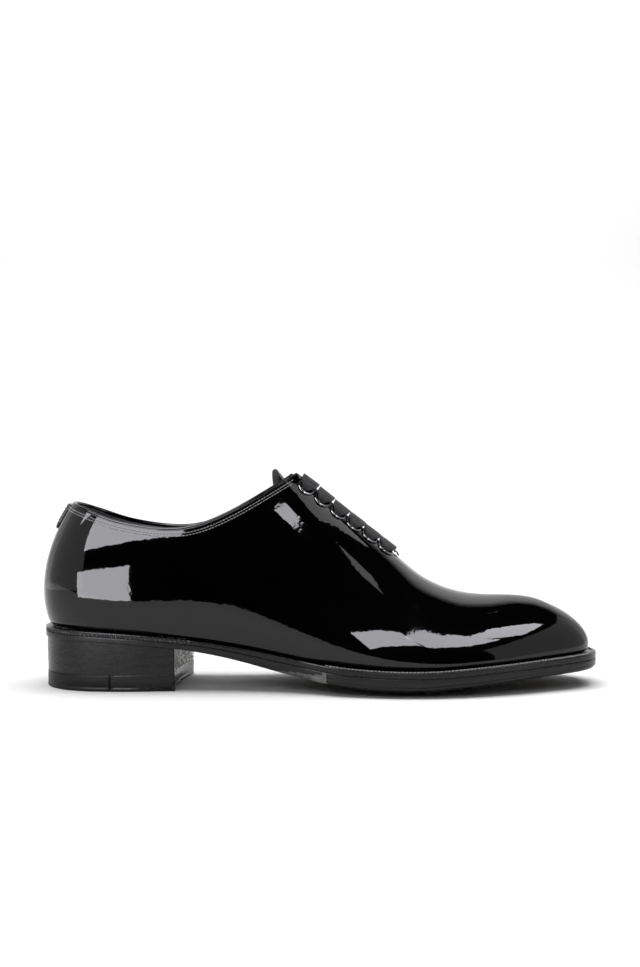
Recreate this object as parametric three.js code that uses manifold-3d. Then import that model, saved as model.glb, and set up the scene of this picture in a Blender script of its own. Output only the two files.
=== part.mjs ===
// Whole-cut oxford shoe, right foot, as an assembly of separate pieces.
// Millimetres. +X points to the toe, +Y to the inner (medial) side, +Z up.
// The origin is on the floor, under the middle of the shoe's length and width.
import * as THREE from "three";
import { mergeVertices } from "three/addons/utils/BufferGeometryUtils.js";
import Module from "manifold-3d";

// ---------------------------------------------------------------- driving dimensions
const LAST_LENGTH = 296.4; // of the feather line, heel to toe
const LAST_WIDTH = 94.2; // of the feather line, at the ball of the foot
const GAP = 0.3; // air left between two pieces that touch on the real shoe
const UPPER = 1.2; // thickness of the patent upper
const STIFFENER = 1.2; // counter, toe puff and facing stays
const LINING = 0.9; // thickness of the lining leather
const INSOLE = 2.6;
const SOCK = 1.2;
const LASTING_MARGIN = 9; // upper turned in under the insole
const WELT_THICKNESS = 3.2;
const RAND_THICKNESS = 2.4;
const TOP_PIECE = 8.4; // rubber and leather top piece of the heel
const HEEL_LIFTS = 3;
const LIFT_THICKNESS = 4.6;
const HEEL_TAPER = 0.035; // how far the heel's sides lean in, per mm of height
// Places along the shoe are given for a last of this length and width, and stretch with it.
const lengthwise = (x) => (x * LAST_LENGTH) / 296.4;
const widthwise = (y) => (y * LAST_WIDTH) / 94.2;
const BREAST_LATERAL = lengthwise(-77); // x of the heel breast on the outer side
const BREAST_MEDIAL = lengthwise(-73); // and on the inner side
const RUBBER_LENGTH = 40; // from the back of the heel to the joint with the leather
const EYELETS = 6;
const EYELET_OUTER = 5.1; // flange radius
const EYELET_BORE = 3.7; // inner radius
const EYELET_WALL = 0.4;
const EYELET_FLANGE = 0.55;
const EYELET_FIRST = lengthwise(-7.7); // x of the top eyelet
const EYELET_STEP = 8.7; // x from one eyelet to the next
const EYELET_INSET = 7.2; // from the facing's edge to the eyelet's centre
const LACE_WIDTH = 10.2;
const LACE_THICKNESS = 1.1;
const TONGUE = 1.0;
const TONGUE_LINING = 0.8;
const TONGUE_HINGE = lengthwise(54); // x of the stitching that holds the tongue
const TONGUE_TOP = lengthwise(-21); // x of the tongue's upper end
const SHANK = { from: lengthwise(-112), to: lengthwise(-24), width: 14, thickness: 1.2 };
const NAIL_RADIUS = 1.1;

// ---------------------------------------------------------------- curves
// Cubic spline through [position, value] knots, smooth to the second derivative.
// clamped: the slope is zero at both ends; otherwise the ends are free.
function spline(knots, clamped = false) {
  const n = knots.length;
  const x = knots.map((k) => k[0]);
  const y = knots.map((k) => k[1]);
  const a = new Array(n).fill(0);
  const b = new Array(n).fill(1);
  const c = new Array(n).fill(0);
  const d = new Array(n).fill(0);
  const step = (i) => x[i + 1] - x[i];
  const rise = (i) => (y[i + 1] - y[i]) / step(i);
  for (let i = 1; i < n - 1; i++) {
    a[i] = step(i - 1);
    b[i] = 2 * (step(i - 1) + step(i));
    c[i] = step(i);
    d[i] = 6 * (rise(i) - rise(i - 1));
  }
  if (clamped) {
    b[0] = 2 * step(0);
    c[0] = step(0);
    d[0] = 6 * rise(0);
    a[n - 1] = step(n - 2);
    b[n - 1] = 2 * step(n - 2);
    d[n - 1] = -6 * rise(n - 2);
  }
  for (let i = 1; i < n; i++) {
    const m = a[i] / b[i - 1];
    b[i] -= m * c[i - 1];
    d[i] -= m * d[i - 1];
  }
  const s = new Array(n);
  s[n - 1] = d[n - 1] / b[n - 1];
  for (let i = n - 2; i >= 0; i--) s[i] = (d[i] - c[i] * s[i + 1]) / b[i];
  return (t) => {
    const at = Math.min(Math.max(t, x[0]), x[n - 1]);
    let i = 0;
    while (i < n - 2 && at > x[i + 1]) i++;
    const h = step(i);
    const p = (x[i + 1] - at) / h;
    const q = (at - x[i]) / h;
    return p * y[i] + q * y[i + 1] + (((p ** 3 - p) * s[i] + (q ** 3 - q) * s[i + 1]) * h * h) / 6;
  };
}

// The same, for a list of values that sit at equal steps from 0 to 1.
const evenly = (values, clamped) => spline(values.map((v, i) => [i / (values.length - 1), v]), clamped);
const blend = (from, to, x) => {
  const t = Math.min(Math.max((x - from) / (to - from), 0), 1);
  return t * t * (3 - 2 * t);
};

// A height or width given at places along the shoe.
const profile = (knots) => spline(knots.map(([x, value]) => [lengthwise(x), value]));

// ---------------------------------------------------------------- the last
// Stations run from the back seam (u = 0) round one side to the toe tip (u = 1).
// The feather line is where the upper meets the sole, seen from above.
const FEATHER_LATERAL = [
  [-148.6, 0], [-142.4, -18.2], [-124, -28.6], [-98, -30.2], [-70, -29.4], [-42, -30.2], [-20, -33.6],
  [0, -38.6], [22, -44.4], [45, -47.2], [67, -45.8], [89, -40.4], [109, -32.6], [127, -24.2],
  [140, -16.6], [146.3, -8.2], [147.8, 1],
].map(([x, y]) => [lengthwise(x), widthwise(y)]);
const FEATHER_MEDIAL = [
  [-148.6, 0], [-142.4, 18], [-124, 28], [-98, 28.2], [-70, 25.6], [-42, 24.4], [-18, 27.4],
  [4, 33.4], [26, 41], [48, 46.4], [69, 47], [90, 42.8], [110, 35], [127, 26.2],
  [140, 17.8], [146.3, 9.8], [147.8, 1],
].map(([x, y]) => [lengthwise(x), widthwise(y)]);
// The direction in which each section leaves the shoe, in degrees from +X.
const HEADING = [180, 136, 104, 91, 90, 91, 93, 93, 92, 90, 88, 84, 77, 64, 44, 20, 0];
// The crown: the closed top of the last. Behind the facings it runs above the topline.
const CROWN_X = [
  -130, -127, -117, -99, -75, -48, -28, -10, 14, 41, 63, 84, 101, 114, 122, 126.6, 128.4,
].map(lengthwise);
const CROWN = profile([
  [-131, 110], [-117, 103.5], [-99, 98], [-75, 98], [-48, 109], [-30, 120.5], [-14, 116.5], [-2, 107],
  [16, 91.6], [31, 79.6], [44, 68.9], [54, 60.6], [65, 54.3], [74, 51], [84, 49], [94, 48.3],
  [104, 48.2], [113, 47.6], [121, 45.9], [128.4, 42.9],
]);
// How far the crown line keeps from the middle line: the opening, then the lacing gap. Past the
// gap the crown is closed, and the values only ease the slope of the surface down to it.
const THROAT_STATION = 9;
const CROWN_HALF_WIDTH = [
  0, 9.5, 17.5, 22, 22.5, 18.6, 10.8, 4.2, 2.6, 2.4, 1.6, 0.6, 0, 0, 0, 0, 0,
].map(widthwise);
const MIDDLE = profile([
  [-150, 0], [-60, 0], [-10, 0.5], [20, 1.6], [50, 3], [80, 3.4], [110, 2.6], [150, 1],
]);
// The handles of each section's curve: outward and upward from the feather line,
// then outward and downward from the crown.
const LOW_OUT = [7.6, 7.4, 6.4, 4.6, 4.4, 5.2, 6, 6.2, 5.8, 5, 4.2, 3.8, 3.6, 3.6, 3.8, 4, 4.2];
const LOW_UP = [17, 17, 17.5, 17, 18.5, 21, 22.5, 22, 20, 17.5, 14, 12, 11.2, 10.8, 10.6, 10.6, 10.6];
const HIGH_OUT = [24, 22.8, 15.2, 9.6, 9.2, 12, 15.5, 19, 20.5, 21.5, 23, 22, 19.5, 16.2, 13.4, 11.4, 10.6];
const HIGH_DOWN = [30, 29, 25.5, 21.5, 21.5, 24, 20, 10, 3.8, 0.8, 0, 0, 0, 0, 0, 0, 0];

const stations = FEATHER_LATERAL.length - 1;
const crownX = evenly(CROWN_X, false);
const fading = (values) => {
  const f = evenly(values, false);
  return (u) => Math.max(0, f(u));
};
const openHalf = fading(CROWN_HALF_WIDTH);
const THROAT_ROUND = 5; // length over which the lacing gap closes at its front end
const crownHalf = (u) => {
  const left = (crownX(THROAT_STATION / stations) - crownX(u)) / THROAT_ROUND;
  return left <= 0 ? 0 : openHalf(u) * Math.sqrt(1 - Math.max(0, 1 - left) ** 2);
};
const lowOut = evenly(LOW_OUT, true);
const lowUp = evenly(LOW_UP, true);
const highOut = evenly(HIGH_OUT, true);
const highDown = fading(HIGH_DOWN);
const heading = evenly(HEADING, false);

// Both sides of an outline as one closed, smooth curve: u from -1 (inner side) to 1.
function closedOutline(lateral, medial) {
  const ring = [...medial.slice(1).reverse(), ...lateral];
  const wrap = 4;
  const size = ring.length - 1;
  const at = (k) => ring[((k % size) + size) % size];
  const knots = [0, 1].map((axis) => {
    const list = [];
    for (let k = -wrap; k <= size + wrap; k++) list.push([(k - stations) / stations, at(k)[axis]]);
    return spline(list);
  });
  return (u) => new THREE.Vector2(knots[0](u), knots[1](u));
}
const featherLine = closedOutline(FEATHER_LATERAL, FEATHER_MEDIAL);
// side -1 is the outer (lateral) side, 1 the inner (medial) side.
const feather = (side, u) => featherLine(-side * u);
function featherNormal(side, u) {
  const e = 1e-3;
  const d = featherLine(-side * u + e).sub(featherLine(-side * u - e)).normalize();
  return new THREE.Vector2(d.y, -d.x);
}

// ---------------------------------------------------------------- the bottom
// Heights along the middle of the sole, and how much its edges turn up.
const SOLE_TOP = profile([
  [-152, 32.6], [-130, 32], [-106, 30.8], [-77, 27.8], [-51, 23.8], [-15, 16.3], [6, 12.2], [25, 10.3],
  [44, 9.7], [64, 10.3], [84, 12], [100, 13.6], [115, 15.2], [130, 16.6], [143, 17.6], [153, 18.2],
]);
const SOLE_BOTTOM = profile([
  [-152, 27.2], [-130, 26.6], [-106, 25.4], [-77, 22.4], [-51, 17.4], [-15, 7.6], [6, 3], [22, 0.8],
  [36, 0], [48, 0], [64, 0.9], [84, 2.9], [100, 4.9], [115, 6.8], [130, 8.2], [143, 9.2], [153, 9.8],
]);
const TURN_UP = profile([
  [-152, 0], [-80, 0], [-40, 0.8], [0, 2], [40, 2.8], [80, 2.2], [120, 0.9], [153, 0],
]);
const half = profile([[-152, 31], [-60, 30], [0, 38], [50, 50], [100, 40], [153, 30]]);
const turnUp = (x, y) => TURN_UP(x) * Math.min(1.3, ((y - MIDDLE(x)) / widthwise(half(x))) ** 2);
const soleTop = (x, y) => SOLE_TOP(x) + turnUp(x, y);
const soleBottom = (x, y) => Math.max(0, SOLE_BOTTOM(x)) + turnUp(x, y);
// The sole reaches past the feather line: a welt at the forepart, close trimmed behind it.
const WELT_OUT = 4.6;
const WAIST_OUT = 1.2;
const HEEL_OUT = 2.6;
const WELT_FROM_LATERAL = lengthwise(-4); // x where the square forepart edge starts
const WELT_FROM_MEDIAL = lengthwise(12);
function edgeOut(side, x) {
  const start = side < 0 ? WELT_FROM_LATERAL : WELT_FROM_MEDIAL;
  const waist = WAIST_OUT + (HEEL_OUT - WAIST_OUT) * blend(lengthwise(-70), lengthwise(-100), x);
  return waist + (WELT_OUT - waist) * blend(start - 8, start + 16, x);
}
function soleEdge(side, u, inset = 0) {
  const p = feather(side, u);
  return p.add(featherNormal(side, u).multiplyScalar(edgeOut(side, p.x) - inset));
}

// ---------------------------------------------------------------- the shoe's outer surface
const FLOOR_OF_UPPER = GAP;
const CLOSING_FROM = 0.86; // share of the section above which the gap's front end closes
function lastPoint(side, u, t) {
  const f = feather(side, u);
  const zf = soleTop(f.x, f.y) + FLOOR_OF_UPPER;
  const cx = crownX(u);
  const cy = MIDDLE(cx) + side * openHalf(u);
  const cz = CROWN(cx);
  const closing = side * (crownHalf(u) - openHalf(u)) * blend(CLOSING_FROM, 1, t);
  const angle = THREE.MathUtils.degToRad(heading(u));
  const ex = Math.cos(angle);
  const ey = side * Math.sin(angle);
  const slope = (CROWN(cx + 0.5) - CROWN(cx - 0.5)) * blend(lengthwise(60), lengthwise(100), cx);
  const lo = lowOut(u);
  const hi = highOut(u);
  const [b0, b1, b2, b3] = [(1 - t) ** 3, 3 * t * (1 - t) ** 2, 3 * t * t * (1 - t), t ** 3];
  const h1 = [f.x + ex * lo, f.y + ey * lo, zf + lowUp(u)];
  const h2 = [cx + ex * hi, cy + ey * hi, cz - highDown(u) + slope * ex * hi];
  return new THREE.Vector3(
    b0 * f.x + b1 * h1[0] + b2 * h2[0] + b3 * cx,
    b0 * f.y + b1 * h1[1] + b2 * h2[1] + b3 * cy + closing,
    b0 * zf + b1 * h1[2] + b2 * h2[2] + b3 * cz,
  );
}
function lastNormal(side, u, t) {
  const e = 1e-3;
  const [u0, u1] = [Math.max(0, u - e), Math.min(0.985, u + e)];
  const [t0, t1] = [Math.max(0, t - e), Math.min(1, t + e)];
  const du = lastPoint(side, Math.max(u1, u0 + e), t).sub(lastPoint(side, u0, t));
  const dt = lastPoint(side, u, t1).sub(lastPoint(side, u, t0));
  if (u === 0) du.set(0, 1, 0).multiplyScalar(side);
  if (u === 1) du.set(0, 1, 0).multiplyScalar(-side);
  return du.cross(dt).normalize().multiplyScalar(side < 0 ? 1 : -1);
}
const surface = (side, u, t, depth) =>
  lastPoint(side, u, t).addScaledVector(lastNormal(side, u, t), -depth);

// The topline, seen from the side.
const TOPLINE = profile([
  [-150, 106], [-137, 99], [-126, 94.8], [-114.7, 90.6], [-101, 87.2], [-92, 85.8], [-80, 85], [-68, 86.3],
  [-56, 90.4], [-45, 95.7], [-36, 100.8], [-29, 105], [-22, 109.3], [-16, 113.3], [-8, 120],
]);

const CORNER_LIMIT = lengthwise(-8); // in front of this x the wall ends at the lacing gap
function toplineAt(side, u) {
  const over = (t) => {
    const p = lastPoint(side, u, t);
    return p.z - TOPLINE(p.x);
  };
  if (crownX(u) > CORNER_LIMIT || over(1) <= 0) return 1;
  let [lo, hi] = [0.4, 1];
  for (let i = 0; i < 40; i++) {
    const mid = (lo + hi) / 2;
    if (over(mid) < 0) lo = mid;
    else hi = mid;
  }
  return hi;
}
// The station of the facing's top corner, where the topline meets the lacing gap.
const CORNER = (() => {
  let [lo, hi] = [6 / stations, 8 / stations];
  for (let i = 0; i < 40; i++) {
    const mid = (lo + hi) / 2;
    if (toplineAt(-1, mid) < 1) lo = mid;
    else hi = mid;
  }
  return hi;
})();
// The station at which the feather line or the crown reaches a given x.
function stationAt(x, along) {
  let [lo, hi] = [0.02, 1];
  for (let i = 0; i < 40; i++) {
    const mid = (lo + hi) / 2;
    if (along(mid) < x) lo = mid;
    else hi = mid;
  }
  return (lo + hi) / 2;
}
const featherStation = (side, x) => stationAt(x, (u) => feather(side, u).x);

// Every layer is cut along the same stations, so that its facets lie parallel to the next one's.
const THROAT = THROAT_STATION / stations;
const STATIONS = (() => {
  const list = [CORNER, THROAT];
  for (let i = 0; i <= 2 * stations; i++) {
    const u = i / (2 * stations);
    if (Math.abs(u - CORNER) > 0.02) list.push(u);
  }
  for (const part of [0.35, 0.7]) list.push(THROAT - (0.5 / stations) * (1 - part));
  for (const part of [0.25, 0.75]) list.push((part * 2) / stations);
  return [...new Set(list)].sort((a, b) => a - b);
})();
const steps = (from, to, count) =>
  Array.from({ length: count + 1 }, (_, i) => from + ((to - from) * i) / count);
const between = (from, to) => [from, ...STATIONS.filter((u) => u > from + 0.004 && u < to - 0.004), to];

// ---------------------------------------------------------------- solids
const wasm = await Module();
wasm.setup();

function toSolid(geometry) {
  const bare = new THREE.BufferGeometry();
  bare.setAttribute("position", geometry.getAttribute("position"));
  if (geometry.index) bare.setIndex(geometry.index);
  const welded = mergeVertices(bare, 1e-4);
  const index = welded.index.array;
  const kept = [];
  for (let i = 0; i < index.length; i += 3) {
    const [a, b, c] = [index[i], index[i + 1], index[i + 2]];
    if (a !== b && b !== c && c !== a) kept.push(a, b, c);
  }
  return new wasm.Manifold(
    new wasm.Mesh({
      numProp: 3,
      vertProperties: new Float32Array(welded.attributes.position.array),
      triVerts: new Uint32Array(kept),
    }),
  );
}
function toGeometry(solid) {
  const mesh = solid.getMesh();
  const geometry = new THREE.BufferGeometry();
  const vertices = new Float32Array(mesh.numVert * 3);
  for (let i = 0; i < mesh.numVert; i++)
    for (let k = 0; k < 3; k++) vertices[3 * i + k] = mesh.vertProperties[mesh.numProp * i + k];
  geometry.setAttribute("position", new THREE.BufferAttribute(vertices, 3));
  geometry.setIndex(new THREE.BufferAttribute(new Uint32Array(mesh.triVerts), 1));
  return geometry;
}
function signedVolume(points, faces) {
  let v = 0;
  for (const [a, b, c] of faces) v += points[a].dot(points[b].clone().cross(points[c]));
  return v;
}
function fromFaces(points, faces) {
  const turn = signedVolume(points, faces) < 0;
  const geometry = new THREE.BufferGeometry();
  geometry.setFromPoints(points);
  geometry.setIndex(faces.flatMap(([a, b, c]) => (turn ? [a, c, b] : [a, b, c])));
  return toSolid(geometry);
}

// A sheet of patches, each a grid of { face, back } points. Patches that meet share their
// points. The sheet is closed along its free edges by a wall from the face to the back.
function thicken(patches) {
  const face = [];
  const back = [];
  const seen = new Map();
  const id = (p) => {
    const key = [p.face.x, p.face.y, p.face.z].map((v) => Math.round(v * 1e4)).join(" ");
    if (!seen.has(key)) {
      seen.set(key, face.length);
      face.push(p.face);
      back.push(p.back);
    }
    return seen.get(key);
  };
  const tris = [];
  const add = (a, b, c) => {
    if (a !== b && b !== c && c !== a) tris.push([a, b, c]);
  };
  for (const { grid, ring = false, flip = false } of patches) {
    const ids = grid.map((row) => row.map(id));
    const rows = ring ? ids.length : ids.length - 1;
    for (let i = 0; i < rows; i++) {
      const next = ids[(i + 1) % ids.length];
      for (let j = 0; j + 1 < ids[i].length; j++) {
        const [a, b, c, d] = flip
          ? [ids[i][j], ids[i][j + 1], next[j + 1], next[j]]
          : [ids[i][j], next[j], next[j + 1], ids[i][j + 1]];
        add(a, b, c);
        add(a, c, d);
      }
    }
  }
  const edges = new Map();
  for (const [a, b, c] of tris)
    for (const [p, q] of [[a, b], [b, c], [c, a]]) edges.set(`${p} ${q}`, [p, q]);
  const faces = [...tris];
  const n = face.length;
  for (const [a, b, c] of tris) faces.push([a + n, c + n, b + n]);
  for (const [p, q] of edges.values()) {
    if (edges.has(`${q} ${p}`)) continue;
    faces.push([q, p, p + n], [q, p + n, q + n]);
  }
  return fromFaces([...face, ...back], faces);
}

// Columns of stations from one side of the shoe, round the back or the toe, to the other.
const roundBack = (until, start = 0) => [
  ...between(start, until).reverse().map((u) => [-1, u]),
  ...between(start, until).slice(start === 0 ? 1 : 0).map((u) => [1, u]),
];
const roundToe = (from) => [
  ...between(from, 1).map((u) => [1, u]),
  ...between(from, 1).reverse().slice(1).map((u) => [-1, u]),
];
const allRound = () => [...roundBack(1).slice(0, -1)];

function layerPoint(side, u, t, depth) {
  // On the ridge both sides share one direction, so that they can share the point.
  if (t > 1 - 1e-9 && crownHalf(u) === 0) {
    const n = lastNormal(-1, u, 1).add(lastNormal(1, u, 1)).normalize();
    return lastPoint(-1, u, 1).addScaledVector(n, -depth);
  }
  return surface(side, u, t, depth);
}
// Height on the wall as a share s: 0 at the feather edge, 1 at the topline, in ROWS equal steps.
const ROWS = 7;
const LOW_T = 0.055;
const heightAt = (side, u, s) => (s === 1 ? toplineAt(side, u) : LOW_T + (toplineAt(side, u) - LOW_T) * s);
// A point on the flat facets between the stations and the rows, so that layers stay parallel.
function wallPoint(side, u, s, depth) {
  const i = Math.max(1, STATIONS.findIndex((v) => v >= u - 1e-9));
  const [u0, u1] = [STATIONS[i - 1], STATIONS[i]];
  const j = Math.min(ROWS - 1, Math.floor(s * ROWS + 1e-9));
  const [a, b] = [(u - u0) / (u1 - u0), s * ROWS - j];
  const node = (v, k) => layerPoint(side, v, heightAt(side, v, k / ROWS), depth);
  const mix = (p, q, share) => (share < 1e-9 ? p() : share > 1 - 1e-9 ? q() : p().lerp(q(), share));
  const mixed = (v) => mix(() => node(v, j), () => node(v, j + 1), b);
  return mix(() => mixed(u0), () => mixed(u1), a);
}
const FULL_HEIGHT = steps(0, 1, ROWS);
function layer({ columns, shares = () => FULL_HEIGHT, depth, thickness }) {
  const d = typeof depth === "function" ? depth : () => depth;
  const grid = columns.map(([side, u]) =>
    shares(side, u).map((s) => {
      const at = d(side, u, s);
      return { face: wallPoint(side, u, s, at), back: wallPoint(side, u, s, at + thickness) };
    }),
  );
  return thicken([{ grid }]);
}

// A flat piece with the shoe's outline: rings of growing inset, then a core between the sides.
function plate({ edge, insets = [0], us, across = 6, top, bottom, shift = () => 0 }) {
  const point = (p, inset) => ({
    face: new THREE.Vector3(p.x, p.y, top(p.x, p.y, inset)),
    back: new THREE.Vector3(p.x, p.y, bottom(p.x, p.y, inset)),
  });
  const patches = [];
  const last = insets[insets.length - 1];
  if (insets.length > 1) {
    const columns = [...us.map((u) => [-1, u]), ...[...us].reverse().slice(1, -1).map((u) => [1, u])];
    const grid = columns.map(([side, u]) => insets.map((inset) => point(edge(side, u, inset), inset)));
    patches.push({ grid, ring: true });
  }
  const grid = us.map((u, i) =>
    steps(0, 1, across).map((s) => {
      const p = edge(-1, u, last).lerp(edge(1, u, last), s);
      p.x += shift(s, i / (us.length - 1));
      return point(p, last);
    }),
  );
  patches.push({ grid });
  return thicken(patches);
}
function strip({ columns, edge, insets, top, bottom, ring = false }) {
  const grid = columns.map(([side, u]) =>
    insets.map((inset) => {
      const p = edge(side, u, inset);
      const at = (z) => new THREE.Vector3(p.x, p.y, z);
      return { face: at(top(p.x, p.y)), back: at(bottom(p.x, p.y)) };
    }),
  );
  return thicken([{ grid, ring }]);
}
// A closed bar swept along frames { at, wide, high } whose section is a rounded rectangle.
function bar(frames, corners = 6, squareness = 0.7) {
  const points = [];
  for (const { at, wide, high } of frames)
    for (let k = 0; k < corners; k++) {
      const a = (2 * Math.PI * (k + 0.5)) / corners;
      const [c, s] = [Math.cos(a), Math.sin(a)];
      const bulge = (v) => Math.sign(v) * Math.abs(v) ** squareness;
      points.push(at.clone().addScaledVector(wide, bulge(c)).addScaledVector(high, bulge(s)));
    }
  const faces = [];
  for (let i = 0; i + 1 < frames.length; i++)
    for (let k = 0; k < corners; k++) {
      const [a, b] = [i * corners + k, i * corners + ((k + 1) % corners)];
      faces.push([a, b, b + corners], [a, b + corners, a + corners]);
    }
  const end = (frames.length - 1) * corners;
  for (let k = 1; k + 1 < corners; k++) faces.push([0, k + 1, k], [end, end + k, end + k + 1]);
  return fromFaces(points, faces);
}
function cylinder(radius, from, to, sides = 10) {
  const axis = to.clone().sub(from);
  const geometry = new THREE.CylinderGeometry(radius, radius, axis.length(), sides);
  const upright = new THREE.Vector3(0, 1, 0);
  geometry.applyQuaternion(new THREE.Quaternion().setFromUnitVectors(upright, axis.normalize()));
  geometry.translate(...from.clone().add(to).multiplyScalar(0.5).toArray());
  return toSolid(geometry);
}

// ---------------------------------------------------------------- the pieces
const shoe = new THREE.Group();
shoe.name = "leather_oxford_shoe";
const COLOURS = {
  patent: [0x0b0b0d, 0.12, 0], sole: [0x161311, 0.45, 0], heel: [0x14110f, 0.5, 0],
  rubber: [0x101010, 0.8, 0], lining: [0x1c1a1a, 0.7, 0], board: [0x8a6a48, 0.8, 0],
  cork: [0x8c6239, 0.9, 0], steel: [0x8d9095, 0.35, 1], brass: [0xa88a4c, 0.3, 1],
  gunmetal: [0x3c3b3d, 0.3, 1], textile: [0x0d0d0e, 0.8, 0], plastic: [0x0c0c0c, 0.3, 0],
  stiffener: [0x9c8a70, 0.9, 0],
};
function addPiece(name, solid, colour) {
  const parts = solid.decompose();
  if (parts.length !== 1) throw new Error(`${name} falls into ${parts.length} bodies`);
  const [color, roughness, metalness] = COLOURS[colour];
  const material = new THREE.MeshStandardMaterial({ color, roughness, metalness });
  const mesh = new THREE.Mesh(toGeometry(solid), material);
  mesh.name = name;
  shoe.add(mesh);
}

// The sole unit. Everything is measured from soleTop, the face the upper stands on.
const [WAIST_FROM, WAIST_TO] = [lengthwise(-60), lengthwise(-15)];
const weltThickness = (x) =>
  RAND_THICKNESS + (WELT_THICKNESS - RAND_THICKNESS) * blend(WAIST_FROM, WAIST_TO, x);
const outsoleTop = (x, y) => soleTop(x, y) - weltThickness(x) - GAP;
const RIB = 1.2;
const OUTSOLE_BEVEL = 1.4;
const bevelRise = (x) => OUTSOLE_BEVEL * 0.9 * blend(lengthwise(-60), lengthwise(-10), x);
const WELT_BREAK = lengthwise(-71); // x where the welt takes over from the heel rand
const innerEdge = (side, u, inset) => feather(side, u).addScaledVector(featherNormal(side, u), -inset);
const between2 = (edge, inner) => (side, u, s) => edge(side, u, 0).lerp(innerEdge(side, u, inner), s);
const SOLE_STATIONS = between(0, 1);

addPiece(
  "outsole",
  plate({
    edge: soleEdge,
    insets: [0, OUTSOLE_BEVEL],
    us: SOLE_STATIONS,
    top: outsoleTop,
    bottom: (x, y, inset) => soleBottom(x, y) + (inset === 0 ? bevelRise(x) : 0),
  }),
  "sole",
);
const ringEdge = between2(soleEdge, LASTING_MARGIN);
const weltTop = (x, y) => soleTop(x, y);
const weltBottom = (x, y) => soleTop(x, y) - weltThickness(x);
const weltFrom = { lateral: featherStation(-1, WELT_BREAK), medial: featherStation(1, WELT_BREAK) };
const toeColumns = [
  ...between(weltFrom.lateral, 1).map((u) => [-1, u]),
  ...between(weltFrom.medial, 1).reverse().slice(1).map((u) => [1, u]),
];
const JOINT = 0.003; // station step that leaves an air gap at a butt joint
const heelColumns = [
  ...between(0, weltFrom.lateral - JOINT).reverse().map((u) => [-1, u]),
  ...between(0, weltFrom.medial - JOINT).slice(1).map((u) => [1, u]),
];
addPiece(
  "welt",
  strip({ columns: toeColumns, edge: ringEdge, insets: [0, 0.3, 1], top: weltTop, bottom: weltBottom }),
  "sole",
);
addPiece(
  "heel_rand",
  strip({ columns: heelColumns, edge: ringEdge, insets: [0, 0.3, 1], top: weltTop, bottom: weltBottom }),
  "sole",
);
addPiece(
  "insole_rib",
  strip({
    columns: toeColumns,
    edge: innerEdge,
    insets: [LASTING_MARGIN + GAP, LASTING_MARGIN + GAP + RIB],
    top: (x, y) => soleTop(x, y) + UPPER + GAP,
    bottom: (x, y) => soleTop(x, y) - weltThickness(x) * 0.6,
  }),
  "textile",
);
const CORK_FROM = lengthwise(-18);
const CORK_EASE = 0.5; // the filler is set this far inside its bed
const corkInset = LASTING_MARGIN + GAP + RIB + CORK_EASE + GAP;
addPiece(
  "cork_filler",
  plate({
    edge: (side, u) => {
      const from = featherStation(side, CORK_FROM);
      return innerEdge(side, from + (1 - from) * u, corkInset);
    },
    us: steps(0, 1, 16),
    across: 4,
    top: (x, y) => soleTop(x, y) + UPPER + GAP - CORK_EASE,
    bottom: (x, y) => weltBottom(x, y) + CORK_EASE,
  }),
  "cork",
);
const insoleBase = GAP + UPPER + GAP; // above soleTop
const WALL_INSET = UPPER + STIFFENER + LINING + 4 * GAP;
addPiece(
  "insole",
  plate({
    edge: (side, u) => innerEdge(side, u, WALL_INSET),
    us: SOLE_STATIONS,
    across: 2,
    top: (x, y) => soleTop(x, y) + insoleBase + INSOLE,
    bottom: (x, y) => soleTop(x, y) + insoleBase,
  }),
  "board",
);
addPiece(
  "sock_liner",
  plate({
    edge: (side, u) => innerEdge(side, u, WALL_INSET + GAP),
    us: SOLE_STATIONS,
    across: 2,
    top: (x, y) => soleTop(x, y) + insoleBase + INSOLE + GAP + SOCK,
    bottom: (x, y) => soleTop(x, y) + insoleBase + INSOLE + GAP,
  }),
  "lining",
);
addPiece(
  "shank",
  thicken([
    {
      grid: steps(SHANK.from, SHANK.to, 12).map((x) =>
        [-1, 0, 1].map((k) => {
          const y = MIDDLE(x) + (k * SHANK.width) / 2;
          const z = soleTop(x, y) - weltThickness(x);
          return { face: new THREE.Vector3(x, y, z + SHANK.thickness), back: new THREE.Vector3(x, y, z) };
        }),
      ),
    },
  ]),
  "steel",
);

// The heel: horizontal lifts, the last one a wedge against the sole, and the top piece.
const HEEL_SET_IN = 0.7; // the heel block's top edge, inside the sole's edge
const BREAST_HOLLOW = 2.4;
const heelEdge = (z) => (side, u) => {
  const breast = side < 0 ? BREAST_LATERAL : BREAST_MEDIAL;
  const drop = SOLE_BOTTOM(lengthwise(-120)) - z;
  return soleEdge(side, featherStation(side, breast) * u, HEEL_SET_IN + drop * HEEL_TAPER);
};
const hollow = (s, share) => -BREAST_HOLLOW * (1 - (2 * s - 1) ** 2) * share ** 3;
const HEEL_STATIONS = [0, 0.05, 0.12, 0.2, 0.3, 0.42, 0.55, 0.7, 0.85, 1];
function heelSlab(bottom, top, us = HEEL_STATIONS, shift = hollow) {
  const at = (z) => (typeof z === "function" ? z : () => z);
  const level = (at(bottom)(lengthwise(-110), 0) + at(top)(lengthwise(-110), 0)) / 2;
  return plate({ edge: heelEdge(level), us, across: 4, top: at(top), bottom: at(bottom), shift });
}
const liftBase = (k) => TOP_PIECE + GAP + k * (LIFT_THICKNESS + GAP);
for (let k = 0; k < HEEL_LIFTS; k++) {
  const top = k < HEEL_LIFTS - 1 ? liftBase(k) + LIFT_THICKNESS : (x, y) => soleBottom(x, y) - GAP;
  addPiece(`heel_lift_${k + 1}`, heelSlab(liftBase(k), top), "heel");
}
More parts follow.
